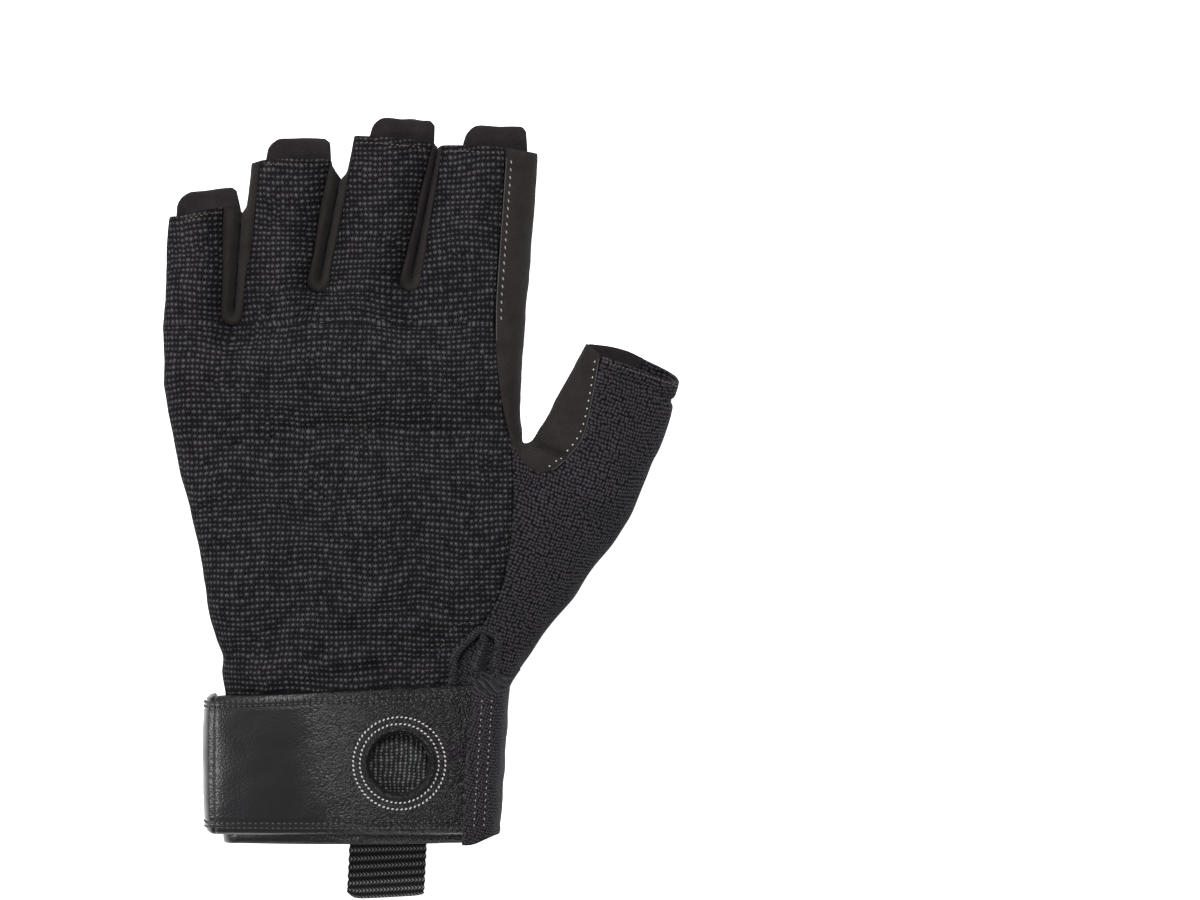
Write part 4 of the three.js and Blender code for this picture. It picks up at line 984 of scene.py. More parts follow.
def fourchette(left):
    """Each row is a cubic curve. It starts half a millimetre under the knit's edge, rises a little beside
    it, comes down towards the middle of the gap, and then drops nearly upright to the palm."""
    edges = {}
    for layer in ("back", "palm"):
        down = crotch_route(left, 1, layer)[::-1]
        up = crotch_route(left + 1, 0, layer)
        edges[layer] = np.concatenate([down, up[1:]])
    way = np.gradient(edges["back"], axis=0)
    aside = np.cross(way, (0, 0, 1))
    aside /= np.linalg.norm(aside, axis=1)[:, None]
    upper = (edges["back"] + 0.5 * aside - (0, 0, 0.3))[:, None]
    lower = edges["palm"][:, None]
    share = np.linspace(0, 1, 25)[None, :, None]
    first = stack(lerp(upper[..., 0], lower[..., 0], 0.55), lerp(upper[..., 1], lower[..., 1], 0.55),
                  upper[..., 2] + 1.7)
    second = stack(lerp(upper[..., 0], lower[..., 0], 1.06), lower[..., 1], upper[..., 2] - 0.8)
    grid = ((1 - share) ** 3 * upper + 3 * share * (1 - share) ** 2 * first
            + 3 * share ** 2 * (1 - share) * second + share ** 3 * lower)
    grid[..., 2] -= 0.1
    surface = relax(join([grid], turned=True), 2)
    return push(surface, 0.06 * ripple(surface["points"], 6, 20 + left))


NAMES = ["pinky", "ring", "middle", "index"]
for left in range(3):
    pair = f"{NAMES[left]}_{NAMES[left + 1]}"
    between = fourchette(left)
    strip = put(f"suede_between_{pair}", between, SIDE_SUEDE, 0.9, [f"fourchette_{pair}"])
    cut_from(strip, between)

# %% [markdown]
# One suede strip runs from the index finger's tip down the side of the hand, round the thumb's crotch and
# up the inside of the thumb. It could be three pieces, one for each part of the way, but the real one has
# no seam there. So three lines run the whole way, the seam on top, the outline and the seam below, and the
# strip is rolled from one to the next.

# %% Suede side strip
def through(places, count):
    """A smooth curve through the places, with count steps between two of them. Each stretch is the cubic
    whose slope at a place is half the way between its two neighbours."""
    places = np.asarray(places, float)
    slope = np.gradient(places, axis=0)
    share = np.linspace(0, 1, count, endpoint=False)[None, :, None]
    start, end, leave, arrive = places[:-1, None], places[1:, None], slope[:-1, None], slope[1:, None]
    cubic = ((2 * share ** 3 - 3 * share ** 2 + 1) * start + (share ** 3 - 2 * share ** 2 + share) * leave
             + (3 * share ** 2 - 2 * share ** 3) * end + (share ** 3 - share ** 2) * arrive)
    return np.concatenate([cubic.reshape(-1, places.shape[1]), places[-1:]])


THUMB_SEAM = [(-0.008, -0.166), (0.151, -0.233), (0.324, -0.105), (0.429, 0.05), (0.489, 0.3), (0.55, 0.655)]
THUMB_INNER = [(0.02, 0), (0.075, 0.083), (0.151, 0.203), (0.241, 0.376), (0.339, 0.55), (0.444, 0.745)]
THUMB_PALM = [(0.05, -0.05), (0.1, 0.03), (0.18, 0.15), (0.265, 0.3), (0.35, 0.48), (0.47, 0.745)]
THUMB_OUTER = [(0.941, -0.158), (0.986, -0.068), (1.039, 0.068), (1.099, 0.279), (1.152, 0.429)]
THUMB_UNDER = [(0.437, -0.279), (0.542, -0.128), (0.648, 0.068), (0.753, 0.309), (0.881, 0.632)]
ROOT_OUTER = [(0.45, 0.279), (0.519, 0.346), (0.566, 0.391), (0.632, 0.451), (0.701, 0.507), (0.756, 0.552),
              (0.789, 0.593), (0.82, 0.639)]
ROOT_UNDER = [(0.175, 0.344), (0.205, 0.373), (0.241, 0.406), (0.288, 0.451), (0.348, 0.505), (0.425, 0.55),
              (0.494, 0.581), (0.549, 0.602)]
THUMB_ROOT = np.array([0.5 * HAND_WIDTH, THUMB_CROTCH])


def on_thumb(shares, z):
    x, y = (THUMB_ROOT + np.array(shares) * THUMB_LENGTH).T
    return stack(x, y, z)


seam_end = back_edge(3, 1, np.array([THUMB_CROTCH]))[0]
seam_rise = lerp(seam_end[2], THUMB_HEIGHT - 2, smoothstep(np.arange(1, 7) / 6))
THUMB_SEAMS = on_thumb(THUMB_SEAM, seam_rise)
THUMB_WIDEST = on_thumb(THUMB_INNER, seam_rise * MIDDLE)
THUMB_PALMS = on_thumb(THUMB_PALM, SEAM_HEIGHT)


def side_strip():
    """Rolled over the three guide lines, with a crease where the strip turns at the crotch."""
    hand_y = finger_rows(3)[1]
    hand_y = hand_y[hand_y >= THUMB_CROTCH][::-1]
    upper = back_edge(3, 1, hand_y)
    lower = palm_edge(3, 1, palm_row(3, 1, hand_y))
    widest = stack(lower[:, 0] + SEAM_TUCK, (upper[:, 1] + lower[:, 1]) / 2, upper[:, 2] * MIDDLE)
    guides = []
    for hand, thumb in ((upper, THUMB_SEAMS), (widest, THUMB_WIDEST), (lower, THUMB_PALMS)):
        turn = through(np.concatenate([hand[[-9, -1]], thumb]), 20)[21:]
        guides.append(np.concatenate([hand, turn]))
    surface = relax(join([roll(*guides, count=40)], turned=True), 20)
    points = surface["points"]
    height = 0.1 * ripple(points, 12, 31) + 0.05 * ripple(points, 4, 32)
    height += groove(points, [(49.3, 101.8), (56.0, 98.7)], 1.5, 0.8)
    height -= groove(points, [(47.5, 99.8), (55, 95.9)], 0.6, 1.6)
    hem = edge_distance(surface, 1.5)
    return push(surface, height - 0.15 * (1 - hem / 1.5) ** 2), guides


def beside(seam, outline, distance):
    """A line at a distance from the seam, on the outline's side of it."""
    way = outline - seam
    way[:, 2] = 0
    return seam + way * (distance / np.linalg.norm(way, axis=1))[:, None]


SIDE, SIDE_GUIDES = side_strip()
side = put("suede_side_strip", SIDE, SIDE_SUEDE, 1.2, ["side_strip_index_thumb"])
cut_from(side, SIDE)
turned_at = int(np.argmin(SIDE_GUIDES[0][:, 1]))
seam_line = beside(SIDE_GUIDES[0], SIDE_GUIDES[1], 1.5)
hand_seam, thumb_seam = seam_line[3:64], seam_line[turned_at + 2:-3]
sew("stitches_side", SIDE, [hand_seam], LIGHT_THREAD, pitch=2.0, share=0.5, width=0.34, slant=0.3)
sew("stitches_thumb_seam", SIDE, [thumb_seam], WHITE_THREAD, pitch=2.0, share=0.26, width=0.36)
# A thin grey line along the suede's cut edge, next to the seam, is a painted highlight: the edge catching
# light.
highlight_edge = beside(SIDE_GUIDES[0], SIDE_GUIDES[1], 0.25)
highlight_edges = [highlight_edge[3:70], highlight_edge[turned_at + 6:-2]]
sew("suede_edge_highlight", SIDE, highlight_edges, GREY_THREAD, pitch=1.0, share=1.25, width=0.24)

# %% [markdown]
# The looped knit wraps the thumb from that seam, over the back and round the outline, to a seam underneath.
# A corner of it fills the wedge between the back and the side strip. A plain grid can't reach into the
# wedge without crumpled cells, so the wedge is a patch of its own between its four edges.

# %% Looped knit of the thumb
SLIT_BEND, SLIT_TOP = 45.5, 54.5
THUMB_AXIS = np.array([0.62, 0.78, 0])


def slit_gap(y):
    """How far the knit's edge stands off the back's edge at the slit. Above the bend it closes as a quarter
    of an oval."""
    rise = np.clip(y - SLIT_BEND, 0, None) / (SLIT_TOP - SLIT_BEND)
    return SLIT_WIDTH * np.sqrt(np.clip(1 - rise ** 2, 0, 1))


def coons(bottom, top, left, right):
    """A patch between four edges: the two ruled surfaces less the one through the corners."""
    s = np.linspace(0, 1, len(bottom))[None, :, None]
    t = np.linspace(0, 1, len(left))[:, None, None]
    ruled = lerp(bottom[None], top[None], t) + lerp(left[:, None], right[:, None], s)
    return ruled - lerp(lerp(bottom[0], bottom[-1], s), lerp(top[0], top[-1], s), t)


def thumb_knit():
    """The grid rolled over the thumb's three lines, bulging lengthwise under its opening, and the wedge."""
    rows, steps = np.array(SECTIONS["along"][:7]) * HAND_LENGTH, 10
    y = np.interp(np.arange(6 * steps + 1) / steps, np.arange(7), rows)
    seam = back_edge(3, 1, y)
    seam[:, 0] += slit_gap(y)
    turning = (seam[-1] + THUMB_SEAMS[1]) / 2
    turn = through([seam[-steps], seam[-1], turning, *THUMB_SEAMS[1:]], steps)[steps + 1:]
    upper = np.concatenate([seam, turn])
    root = np.array(ROOT_OUTER) * (HAND_WIDTH, HAND_LENGTH)
    heights = upper[np.arange(13) * steps, 2] * MIDDLE
    outer = np.concatenate([stack(*root.T, 0), on_thumb(THUMB_OUTER, 0)])
    outer[:, 2] = heights
    under_root = np.array(ROOT_UNDER) * (HAND_WIDTH, HAND_LENGTH)
    under = np.concatenate([stack(*under_root.T, BASE),
                            on_thumb(THUMB_UNDER, BASE * (1 - np.arange(1, 6) / 5) + 0.1)])
    grid = roll(upper, through(outer, steps), through(under, steps), count=30)
    bulge = np.sin(np.pi * np.clip(2 * np.linspace(0, 1, grid.shape[1]) - 1, 0, 1))[None, :]
    grid += (1.4 * bulge * np.linspace(-2, 1, grid.shape[0]).clip(0)[:, None] ** 2)[..., None] * THUMB_AXIS
    corner_y = np.linspace(y[-1], THUMB_CROTCH, steps + 1)
    top = through([back_edge(3, 1, corner_y[-1:])[0], THUMB_SEAMS[0], THUMB_SEAMS[1]], steps // 2)
    bottom, right = upper[6 * steps:7 * steps + 1], upper[7 * steps:8 * steps + 1]
    return grid, coons(bottom, top, back_edge(3, 1, corner_y), right)


THUMB_GRID, THUMB_WEDGE = thumb_knit()


def thumb_surface():
    """The grid and the wedge as one, with gentle dents and a tucked hem."""
    cloth = [flat_measure(THUMB_GRID), THUMB_WEDGE[..., :2] * MM]
    surface = relax(join([THUMB_GRID, THUMB_WEDGE], cloth=cloth), 16)
    points = surface["points"]
    height = 0.22 * ripple(points, 16, 41) + 0.1 * ripple(points, 6, 42)
    height -= groove(points, [(60, 60), (52, 72), (50, 84)], 0.5, 4)
    height += groove(points, [(65.8, 120.4), (74, 117.5), (85, 112.4)], 0.9, 0.8)
    hem = edge_distance(surface, 1.5)
    push(surface, height - 0.2 * (1 - hem / 1.5) ** 2)
    surface["points"][:, 2] = np.maximum(surface["points"][:, 2], 0.05)
    return surface


THUMB = thumb_surface()
thumb = put("thumb_loop_knit", THUMB, TERRY, 1.9, ["thumb_terry"])
cut_from(thumb, THUMB)
thumb_hem = THUMB_GRID[-2, 1:27]
sew("stitches_thumb_hem", THUMB, [thumb_hem], BROWN_THREAD, pitch=1.1, share=0.6, width=0.36)

# %% [markdown]
# Under the thumb the glove is suede again, from the palm's edge to the looped knit. Both seams are known by
# now, so the piece is ruled between them and only its height is bent.

# %% Suede under the thumb
def thumb_underside():
    """Ruled between the palm's edge and the seam to the looped knit. Two thirds of the way across it has
    come down to that seam's height."""
    hand_y = np.array(SECTIONS["along"][1:9]) * HAND_LENGTH
    lefts = np.concatenate([palm_edge(3, 1, hand_y), THUMB_PALMS])
    under_root = np.array(ROOT_UNDER) * (HAND_WIDTH, HAND_LENGTH)
    roots = stack(*under_root.T, BASE)
    thumbs = on_thumb(THUMB_UNDER, BASE * (1 - np.arange(1, 6) / 5) + 0.1)
    rights = np.concatenate([roots, [(roots[-1] + thumbs[0]) / 2], thumbs])
    left, right = through(lefts, 10)[:, None], through(rights, 10)[:, None]
    share = np.linspace(0, 1, 40)[None, :]
    grid = lerp(left, right, share[..., None])
    grid[..., 2] = lerp(left[..., 2], right[..., 2], np.clip(share * 1.5, 0, 1))
    bulge = np.sin(np.pi * share) * np.linspace(-2, 1, len(grid)).clip(0)[:, None] ** 2
    grid += bulge[..., None] * THUMB_AXIS
    surface = relax(join([grid], turned=True), 6)
    push(surface, 0.12 * ripple(surface["points"], 14, 51) - 0.1)
    surface["points"][:, 2] = np.maximum(surface["points"][:, 2], 0.05)
    return surface


UNDER_THUMB = thumb_underside()
under_thumb = put("suede_under_thumb", UNDER_THUMB, PALM_SUEDE, 1.2, ["thumb_palm"])
cut_from(under_thumb, UNDER_THUMB)

# %% [markdown]
# The wrist is layered. Next to the skin lies a loop-faced cloth, round the palm's side an elastic band, and
# on top the leather strap. The strap's hole shows the loops below it. A painted disc could stand for them,
# but it would look flat from the side, so the cloth really runs through under the strap.

# %% Inner cloth of the wrist
def wrist_line():
    """The back panel's lowest row, from the little finger's seam to the slit."""
    rows = [little_side(BACK_STRIPS[0][:1, 0])[0], *[strip[0, 1:] for strip in BACK_STRIPS]]
    return np.concatenate(rows)[::2]


def cuff_shrink(y):
    return lerp(1 - CUFF_TAPER, 1, y / WRIST)


def cuff_right(y):
    return 0.45 * HAND_WIDTH * cuff_shrink(y)


def inner_cuff():
    """The back's lowest row carried down to the wrist's edge, a little narrower there, with a rolled lip."""
    row = wrist_line()
    tail = row[-1] + np.array([8.0, 0, -1.0]) * np.linspace(0.1, 1, 9)[:, None]
    row = np.concatenate([row, tail])
    y = spaced(0, WRIST - 0.3, 0.9)[:, None]
    grid = stack(row[None, :, 0] * cuff_shrink(y), y, row[None, :, 2])
    grid[..., 0] -= 2.8 * smoothstep(1 - y / 12) * smoothstep((-8 - row[None, :, 0]) / 16)
    surface = relax(join([grid]), 4)
    lip = edge_distance(surface, 2)
    return push(surface, 0.15 * ripple(surface["points"], 9, 61) - 0.5 * (1 - lip / 2) ** 2)


INNER = inner_cuff()
inner = put("inner_cuff", INNER, LOOPS, 1.3, ["cuff_back"])
inner.data.materials.append(LEATHER)
heights = INNER["points"][INNER["cells"], 1].max(axis=1)
inner.data.polygons.foreach_set("material_index", (heights < 3.0).astype(np.int32))
cut_from(inner, INNER)

# %% [markdown]
# The elastic band closes the wrist on the palm's side. It lies flat on the table and turns up only at the
# thumb's side, so a flat grid with one rounded end is enough. Its upper edge follows the palm's last row.

# %% Elastic band
def elastic_band():
    """Wraps under the wrist: level in the middle, and turned up at the thumb's side by a quarter of
    an oval."""
    share = np.sin(np.linspace(0, np.pi / 2, 110))[:, None]
    slant_x, slant_y = ROOT_UNDER[0][0] * HAND_WIDTH, ROOT_UNDER[0][1] * HAND_LENGTH

    def level(y):
        left = wrist_line()[0, 0] * cuff_shrink(y) + 1.9
        return lerp(left, cuff_right(y), share)

    low_height = 1.8
    lift = np.clip(1 - (1 - share) / 0.1, 0, 1)
    height = low_height + (MIDDLE * CUFF_HEIGHT - low_height) * (1 - np.sqrt(1 - lift ** 2))
    slant = np.clip((level(WRIST) - slant_x) / (cuff_right(WRIST) - slant_x), 0, 1)
    top = lerp(slant_y, ROOT_OUTER[0][1] * HAND_LENGTH, slant) - 0.6
    bottom = 13.5 + 4 * (2 * share - 1) ** 2
    y = lerp(bottom, top, np.linspace(0, 1, 46)[None, :])
    grid = stack(level(np.minimum(y, WRIST)), y, height)
    surface = relax(join([grid]), 4)
    return push(surface, 0.1 * ripple(surface["points"], 12, 71))


BAND = elastic_band()
band = put("elastic_band", BAND, ELASTIC, 1.8, ["cuff_elastic"])
cut_from(band, BAND)

# %% [markdown]
# The leather strap is one surface with a real hole. A hole could be cut with a boolean, but that leaves
# long thin faces that spoil the gloss. So round the hole the grid is polar and turns square towards its
# rim, and plain grids carry on from there to both ends. The strap's profile is a smooth curve over the
# wrist, and one length along that curve places everything on it, the stitches too.

# %% Leather strap
STRAP_REACH, STRAP_CORNER = 36.6, 4.0
STRAP_BENDS = [(-32.6, 2.8), (-34.9, 3.6), (-36.2, 6.6), (-36.6, 10.6), (-36.3, 15), (-35, 18.7),
               (-32.3, 20.5), (-26, 21.3), (-16.6, 21.7), (0, STRAP_RISE)]
FLAP_WIDTH, STRAP_TUCK = 8.0, 2.0
strap_end = (float(cuff_right(WRIST)) - FLAP_WIDTH + STRAP_TUCK, STRAP_RISE - 1.2)
STRAP_PATH = through(np.array([*STRAP_BENDS, (HOLE_X, STRAP_RISE), strap_end]), 60)
STRAP_LENGTHS = np.concatenate([[0], np.cumsum(np.linalg.norm(np.diff(STRAP_PATH, axis=0), axis=1))])
STRAP_LENGTH = float(STRAP_LENGTHS[-1])
HOLE_AT = float(np.interp(HOLE_X, STRAP_PATH[:, 0], STRAP_LENGTHS))
RIM_HEIGHT, STRAP_UPHILL = 1.3, (-1.3, 1.9)
FOLD_X = -33.5
STRAP_STITCH_Y = (3.9, 5.7, 36.0, 37.7)
STITCHED_RINGS = (10.0, 11.7)


def strap_place(length, y):
    """The point of the strap's face at a length from its free end and at y. The upper edge runs a little
    uphill towards the thumb's side, with the square of the share of the height."""
    x = np.interp(length, STRAP_LENGTHS, STRAP_PATH[:, 0])
    z = np.interp(length, STRAP_LENGTHS, STRAP_PATH[:, 1])
    uphill = lerp(STRAP_UPHILL[0], STRAP_UPHILL[1], (x + STRAP_REACH) / (2 * STRAP_REACH))
    return stack(x, y + uphill * ((y - STRAP_BOTTOM) / STRAP_HEIGHT) ** 2, z)


def strap_rows(lengths, shares):
    """Rows along the strap. At the free end the corners are cut to quarter circles."""
    to_end = STRAP_CORNER - np.minimum(lengths, STRAP_CORNER)
    cut = STRAP_CORNER - np.sqrt(STRAP_CORNER ** 2 - to_end ** 2)
    y = STRAP_BOTTOM + cut[:, None] + (STRAP_HEIGHT - 2 * cut[:, None]) * shares[None, :]
    return np.broadcast_to(lengths[:, None], y.shape), y


def strap_surface():
    """The two plain grids and the ring round the hole, joined, with every cell turned to face outwards."""
    half, side_count = STRAP_HEIGHT / 2, 56
    shares = np.linspace(0, 1, side_count + 1)
    free = np.concatenate([STRAP_CORNER * (1 - np.cos(np.linspace(0, np.pi / 2, 9))),
                           spaced(STRAP_CORNER, HOLE_AT - half, 0.65)[1:]])
    flats = [strap_rows(free, shares), strap_rows(spaced(HOLE_AT + half, STRAP_LENGTH, 0.65), shares)]
    side = 2 * shares - 1
    square = np.concatenate([stack(-1, side, 0), stack(side, 1, 0)[1:], stack(1, -side, 0)[1:],
                             stack(-side, -1, 0)[1:]])[:, :2]
    angle = np.arctan2(square[:, 1], square[:, 0])
    circle = np.stack([np.cos(angle), np.sin(angle)], -1)
    share = (np.linspace(0, 1, 30) ** 1.25)[None, :, None]
    ring = lerp(circle[:, None] * HOLE_RADIUS, square[:, None] * half, share)
    flats.append((HOLE_AT + ring[..., 0], HOLE_Y + ring[..., 1]))
    grids = [strap_place(*flat) for flat in flats]
    cloth = [np.stack(flat, -1) * MM for flat in flats]
    surface = join(grids, cloth=cloth)
    cells, flat = surface["cells"], surface["cloth"]
    first, second = flat[:, 2] - flat[:, 0], flat[:, 3] - flat[:, 1]
    inward = first[:, 0] * second[:, 1] < first[:, 1] * second[:, 0]
    cells[inward] = cells[inward][:, ::-1]
    surface["cloth"][inward] = surface["cloth"][inward][:, ::-1]
    return surface


def strap_relief(surface):
    """Rolled edges, dips under the stitches, a raised ring at the hole and soft dents of worn leather."""
    points = surface["points"]
    edge = edge_distance(surface, 2)
    radius = np.hypot(points[:, 0] - HOLE_X, points[:, 1] - HOLE_Y)
    height = -0.9 * (1 - edge / 2) ** 3
    height -= 1.0 * np.abs(2 * (points[:, 1] - STRAP_BOTTOM) / STRAP_HEIGHT - 1).clip(0, 1) ** 3
    height -= 0.45 * np.exp(-((points[:, 0] - FOLD_X) / 0.45) ** 2) * (points[:, 2] > 15)
    ring = np.exp(-((radius - HOLE_RADIUS - 0.95) / 0.7) ** 2)
    height += RIM_HEIGHT * ring
    for stitched in STITCHED_RINGS:
        height -= 0.22 * np.exp(-((radius - stitched) / 0.35) ** 2)
    uphill = lerp(STRAP_UPHILL[0], STRAP_UPHILL[1], (points[:, 0] + STRAP_REACH) / (2 * STRAP_REACH))
    for y in STRAP_STITCH_Y:
        line = y + uphill * ((y - STRAP_BOTTOM) / STRAP_HEIGHT) ** 2
        height -= 0.35 * np.exp(-((points[:, 1] - line) / 0.4) ** 2)
        height += 0.16 * np.exp(-((points[:, 1] - line) / 1.2) ** 2)
    height += 0.16 * ripple(points, 26, 81) + 0.04 * ripple(points, 6, 82)
    return push(surface, height)


STRAP = strap_relief(strap_surface())
strap = put("leather_strap", STRAP, LEATHER, 2.0, ["wrist_strap"])
cut_from(strap, STRAP)


def strap_route(start, end, y):
    """A line along the strap at one y, given by its lengths from the free end."""
    return strap_place(np.linspace(start, end, 200), y)


rows = [strap_route(6.0, STRAP_LENGTH - 2, y) for y in STRAP_STITCH_Y]
sew("stitches_strap", STRAP, rows, GREY_THREAD, pitch=1.47, share=0.56, width=0.42)
# The black capsules between the stitches are painted shade in the needle holes.
sew("stitch_hole_shade", STRAP, rows, BLACK_THREAD, pitch=1.47, share=0.5, width=0.66, start=1.0)
turn = np.linspace(0, 2 * np.pi, 120)
rings = [np.stack([HOLE_X + radius * np.cos(turn), HOLE_Y + radius * np.sin(turn)], -1)
         for radius in STITCHED_RINGS]
sew("stitches_hole", STRAP, rings, WHITE_THREAD, pitch=1.15, share=0.68, width=0.42, slant=0.55)

# %% [markdown]
# On the thumb's side a bound flap folds up over the strap's sewn end. Its edge is a soft roll that carries
# on into the slit as a ridge. The fold could be a bevel on a sharp edge, but cloth turns in a wide curve,
# so each row is a cubic curve with a small roll at its end.

# %% Side flap
FLAP_TOP, FLAP_SUNK, FLAP_ROLL = 23.7, 15.0, 1.15
FLAP_STITCH_X = (1.5, 4.0)


def side_flap():
    """A cubic curve from the thumb's side over to the strap, closed by a small roll of nearly a circle. Past
    the wrist it sinks, and dives under the thumb's knit."""
    y = spaced(2.6, WRIST + 5, 0.6)
    past = smoothstep((y - WRIST + 1.5) / 6.5)
    root_x, root_y = np.array(ROOT_OUTER[:2]).T * [[HAND_WIDTH], [HAND_LENGTH]]
    right = np.where(y <= WRIST, cuff_right(y), np.interp(y, root_y, root_x))
    lean = 0.6 * np.sin(y / 39 * np.pi) * (y < WRIST)
    top = lerp(FLAP_TOP, FLAP_SUNK, past)
    end = cuff_right(np.minimum(y, WRIST)) - FLAP_WIDTH - lean
    share = np.linspace(0, 1, 26)[None, :, None]
    low = stack(right, y, lerp(MIDDLE * CUFF_HEIGHT + 0.6, MIDDLE * FLAP_SUNK - 0.5, past))[:, None]
    first = stack(right + 0.4, y, top)[:, None]
    second = stack(right - 2, y, top)[:, None]
    last = stack(end, y, top)[:, None]
    over = ((1 - share) ** 3 * low + 3 * share * (1 - share) ** 2 * first
            + 3 * share ** 2 * (1 - share) * second + share ** 3 * last)
    turn = np.linspace(0, 1.1 * np.pi, 13)[None, 1:]
    curl = stack(end[:, None] - FLAP_ROLL * np.sin(turn), y[:, None],
                 top[:, None] - FLAP_ROLL + FLAP_ROLL * np.cos(turn))
    grid = np.concatenate([over, curl], axis=1)[:, ::-1]
    inwards = smoothstep((right[:, None] - grid[..., 0]) / FLAP_WIDTH)
    grid[..., 1] -= 2.4 * smoothstep(1 - (grid[..., 1] - 2.6) / 9) * inwards
    surface = relax(join([grid]), 3)
    points = surface["points"]
    inside = points[:, 0] - (cuff_right(points[:, 1]) - FLAP_WIDTH)
    height = 0.14 * ripple(points, 7, 91)
    for row in FLAP_STITCH_X:
        height -= 0.3 * np.exp(-((inside - row) / 0.4) ** 2) * (points[:, 2] > 20)
    return push(surface, height)


FLAP = side_flap()
flap = put("side_flap", FLAP, BOUND_KNIT, 0.9, ["cuff_side_flap"])
cut_from(flap, FLAP)
flap_y = np.linspace(4.5, 37.5, 60)
flap_edge = cuff_right(flap_y) - FLAP_WIDTH
flap_rows = [np.stack([flap_edge + inside, flap_y], -1) for inside in FLAP_STITCH_X]
sew("stitches_flap", FLAP, flap_rows, LIGHT_THREAD, pitch=1.6, share=0.35, width=0.32)

# %% [markdown]
# The slit lets the hand in, and soft cloth is gathered in it. The heap looks irregular, yet it is a puff
# with small gathers, one ridge and a dip. Each is a bell or a wave across the slit, and the highest one
# wins.

# %% Gathered cloth in the slit
def slit_cloth():
    """Across the slit: a puff with gathers, a ridge that narrows towards the top, and a shallow dip."""
    y = spaced(WRIST - 0.6, SLIT_TOP - 0.6, 0.4)[:, None]
    x = np.linspace(26.4, 39.4, 44)[None, :]
    rise = (y - WRIST) / (SLIT_TOP - WRIST)
    ridge_x = lerp(32.7, 35.6, smoothstep(rise))
    puff = 2.0 * np.exp(-((x - lerp(29.9, 32.6, rise)) / 1.9) ** 2) * (1 - 0.5 * rise)
    gathers = 0.28 * np.sin(2 * np.pi * (y / 1.9 + 0.4 * np.sin(x * 0.9))) * np.exp(-((x - 30) / 2.0) ** 2)
    ridge = (4.6 - 1.8 * rise) * np.exp(-np.abs((x - ridge_x) / 1.45) ** 3)
    dip = 1.6 * np.exp(-((x - 37.4) / 1.2) ** 2)
    base = back_height(27.0, WRIST) - 2.6
    edge = 0.9 * smoothstep((rise - 0.4) / 0.6)
    grid = stack(x, y, base + np.maximum(np.maximum(puff + gathers, ridge), dip) + edge)
    surface = relax(join([grid]), 2)
    return push(surface, 0.05 * ripple(surface["points"], 3, 95))


GATHERS = slit_cloth()
gusset = put("slit_gathers", GATHERS, BOUND_KNIT, 0.8, ["slit_gusset"])
cut_from(gusset, GATHERS)

# %% [markdown]
# A knit binding covers the slit's raw edge, a thin tube that goes up one side and down the other. A curve
# with a bevel would make one too. A circle carried along the route by numpy can be widened, and it gets the
# same cloth coordinates as everything else.

# %% The binding of the slit
def tube(route, radius, sides=14, flat=1.0):
    """A circle carried along a route, upright to it, with a point at each end. flat widens it sideways."""
    along = np.gradient(route, axis=0)
    along /= np.linalg.norm(along, axis=1)[:, None]
    aside = np.cross(along, (0, 0, 1))
    aside /= np.linalg.norm(aside, axis=1)[:, None]
    up = np.cross(aside, along)
    turn = np.linspace(0, 2 * np.pi, sides + 1)[None, :, None]
    size = np.ones(len(route))
    size[[0, -1]] = 0
    reach = size[:, None, None] * radius
    return route[:, None] + reach * (flat * np.cos(turn) * aside[:, None] + np.sin(turn) * up[:, None])


def slit_binding():
    """A tube up the back's edge of the slit and down the knit's edge, over the arch at its top."""
    rise = (SLIT_TOP - SLIT_BEND) * np.sin(np.linspace(0, np.pi / 2, 26)[1:])
    y = np.concatenate([np.linspace(WRIST + 0.4, SLIT_BEND, 14), SLIT_BEND + rise])
    left = back_edge(3, 1, y)
    right = left + np.stack([slit_gap(y), 0 * y, 0 * y], -1)
    left[:, 0] += 0.3
    route = np.concatenate([left, right[::-1][1:]]) + np.array([0, 0, 0.15])
    route = through(route[::4], 6)
    route[:, 2] += 0.12 * np.sin(np.arange(len(route)) * 0.5)
    return join([tube(route, 0.95, flat=1.15)])


binding = put("slit_binding", slit_binding(), BOUND_KNIT, 0, ["slit_piping"])
arch = np.linspace(0.06, 0.94, 60) * np.pi
arch_x, arch_y = 31.6 - 7.9 * np.cos(arch), 44.5 + 11.9 * np.sin(arch)
arch_line = np.stack([arch_x, arch_y], -1)
left_side, right_side = arch_line[arch_x < 33], arch_line[arch_x > 33]
sew("stitches_slit", BACK, [left_side], GREY_THREAD, pitch=1.5, share=0.5, width=0.34)
sew("stitches_slit_thumb", THUMB, [right_side], GREY_THREAD, pitch=1.5, share=0.5, width=0.34)

# %% [markdown]
# The pull loop is a length of flat webbing whose weave makes clear ribs across it. An extruded outline
# would be smooth at the edges, where real webbing is scalloped, so the band is a grid whose ribs are
# shaped. The two small loops of tape and the four finger tabs are made in the same way, as a band along a
# folded path.

# %% Bands along a folded path
def folded_path(start, reach, thickness, end, count=14):
    """Out along the table, round a half circle of that thickness, and back. Each row is a distance
    outwards and a height."""
    radius = thickness / 2
    angle = np.linspace(-np.pi / 2, np.pi / 2, count)
    bend = np.stack([reach - radius + radius * np.cos(angle), radius + radius * np.sin(angle)], -1)
    out_y = spaced(start, reach - radius, 0.6)[:-1]
    out = np.stack([out_y, np.zeros(len(out_y))], -1)
    home_y = spaced(end, reach - radius, 0.6)[::-1][1:]
    home = np.stack([home_y, np.full(len(home_y), thickness)], -1)
    return np.concatenate([out, bend, home])


def strip_along(path, x, width, columns=25):
    """The path's points spread over the width. Each row is y and z."""
    across = np.linspace(-0.5, 0.5, columns)[None, :]
    return stack(x + width * across, path[:, None, 0], path[:, None, 1])


LOOP_X, LOOP_WIDTH = 10.4, 20.0


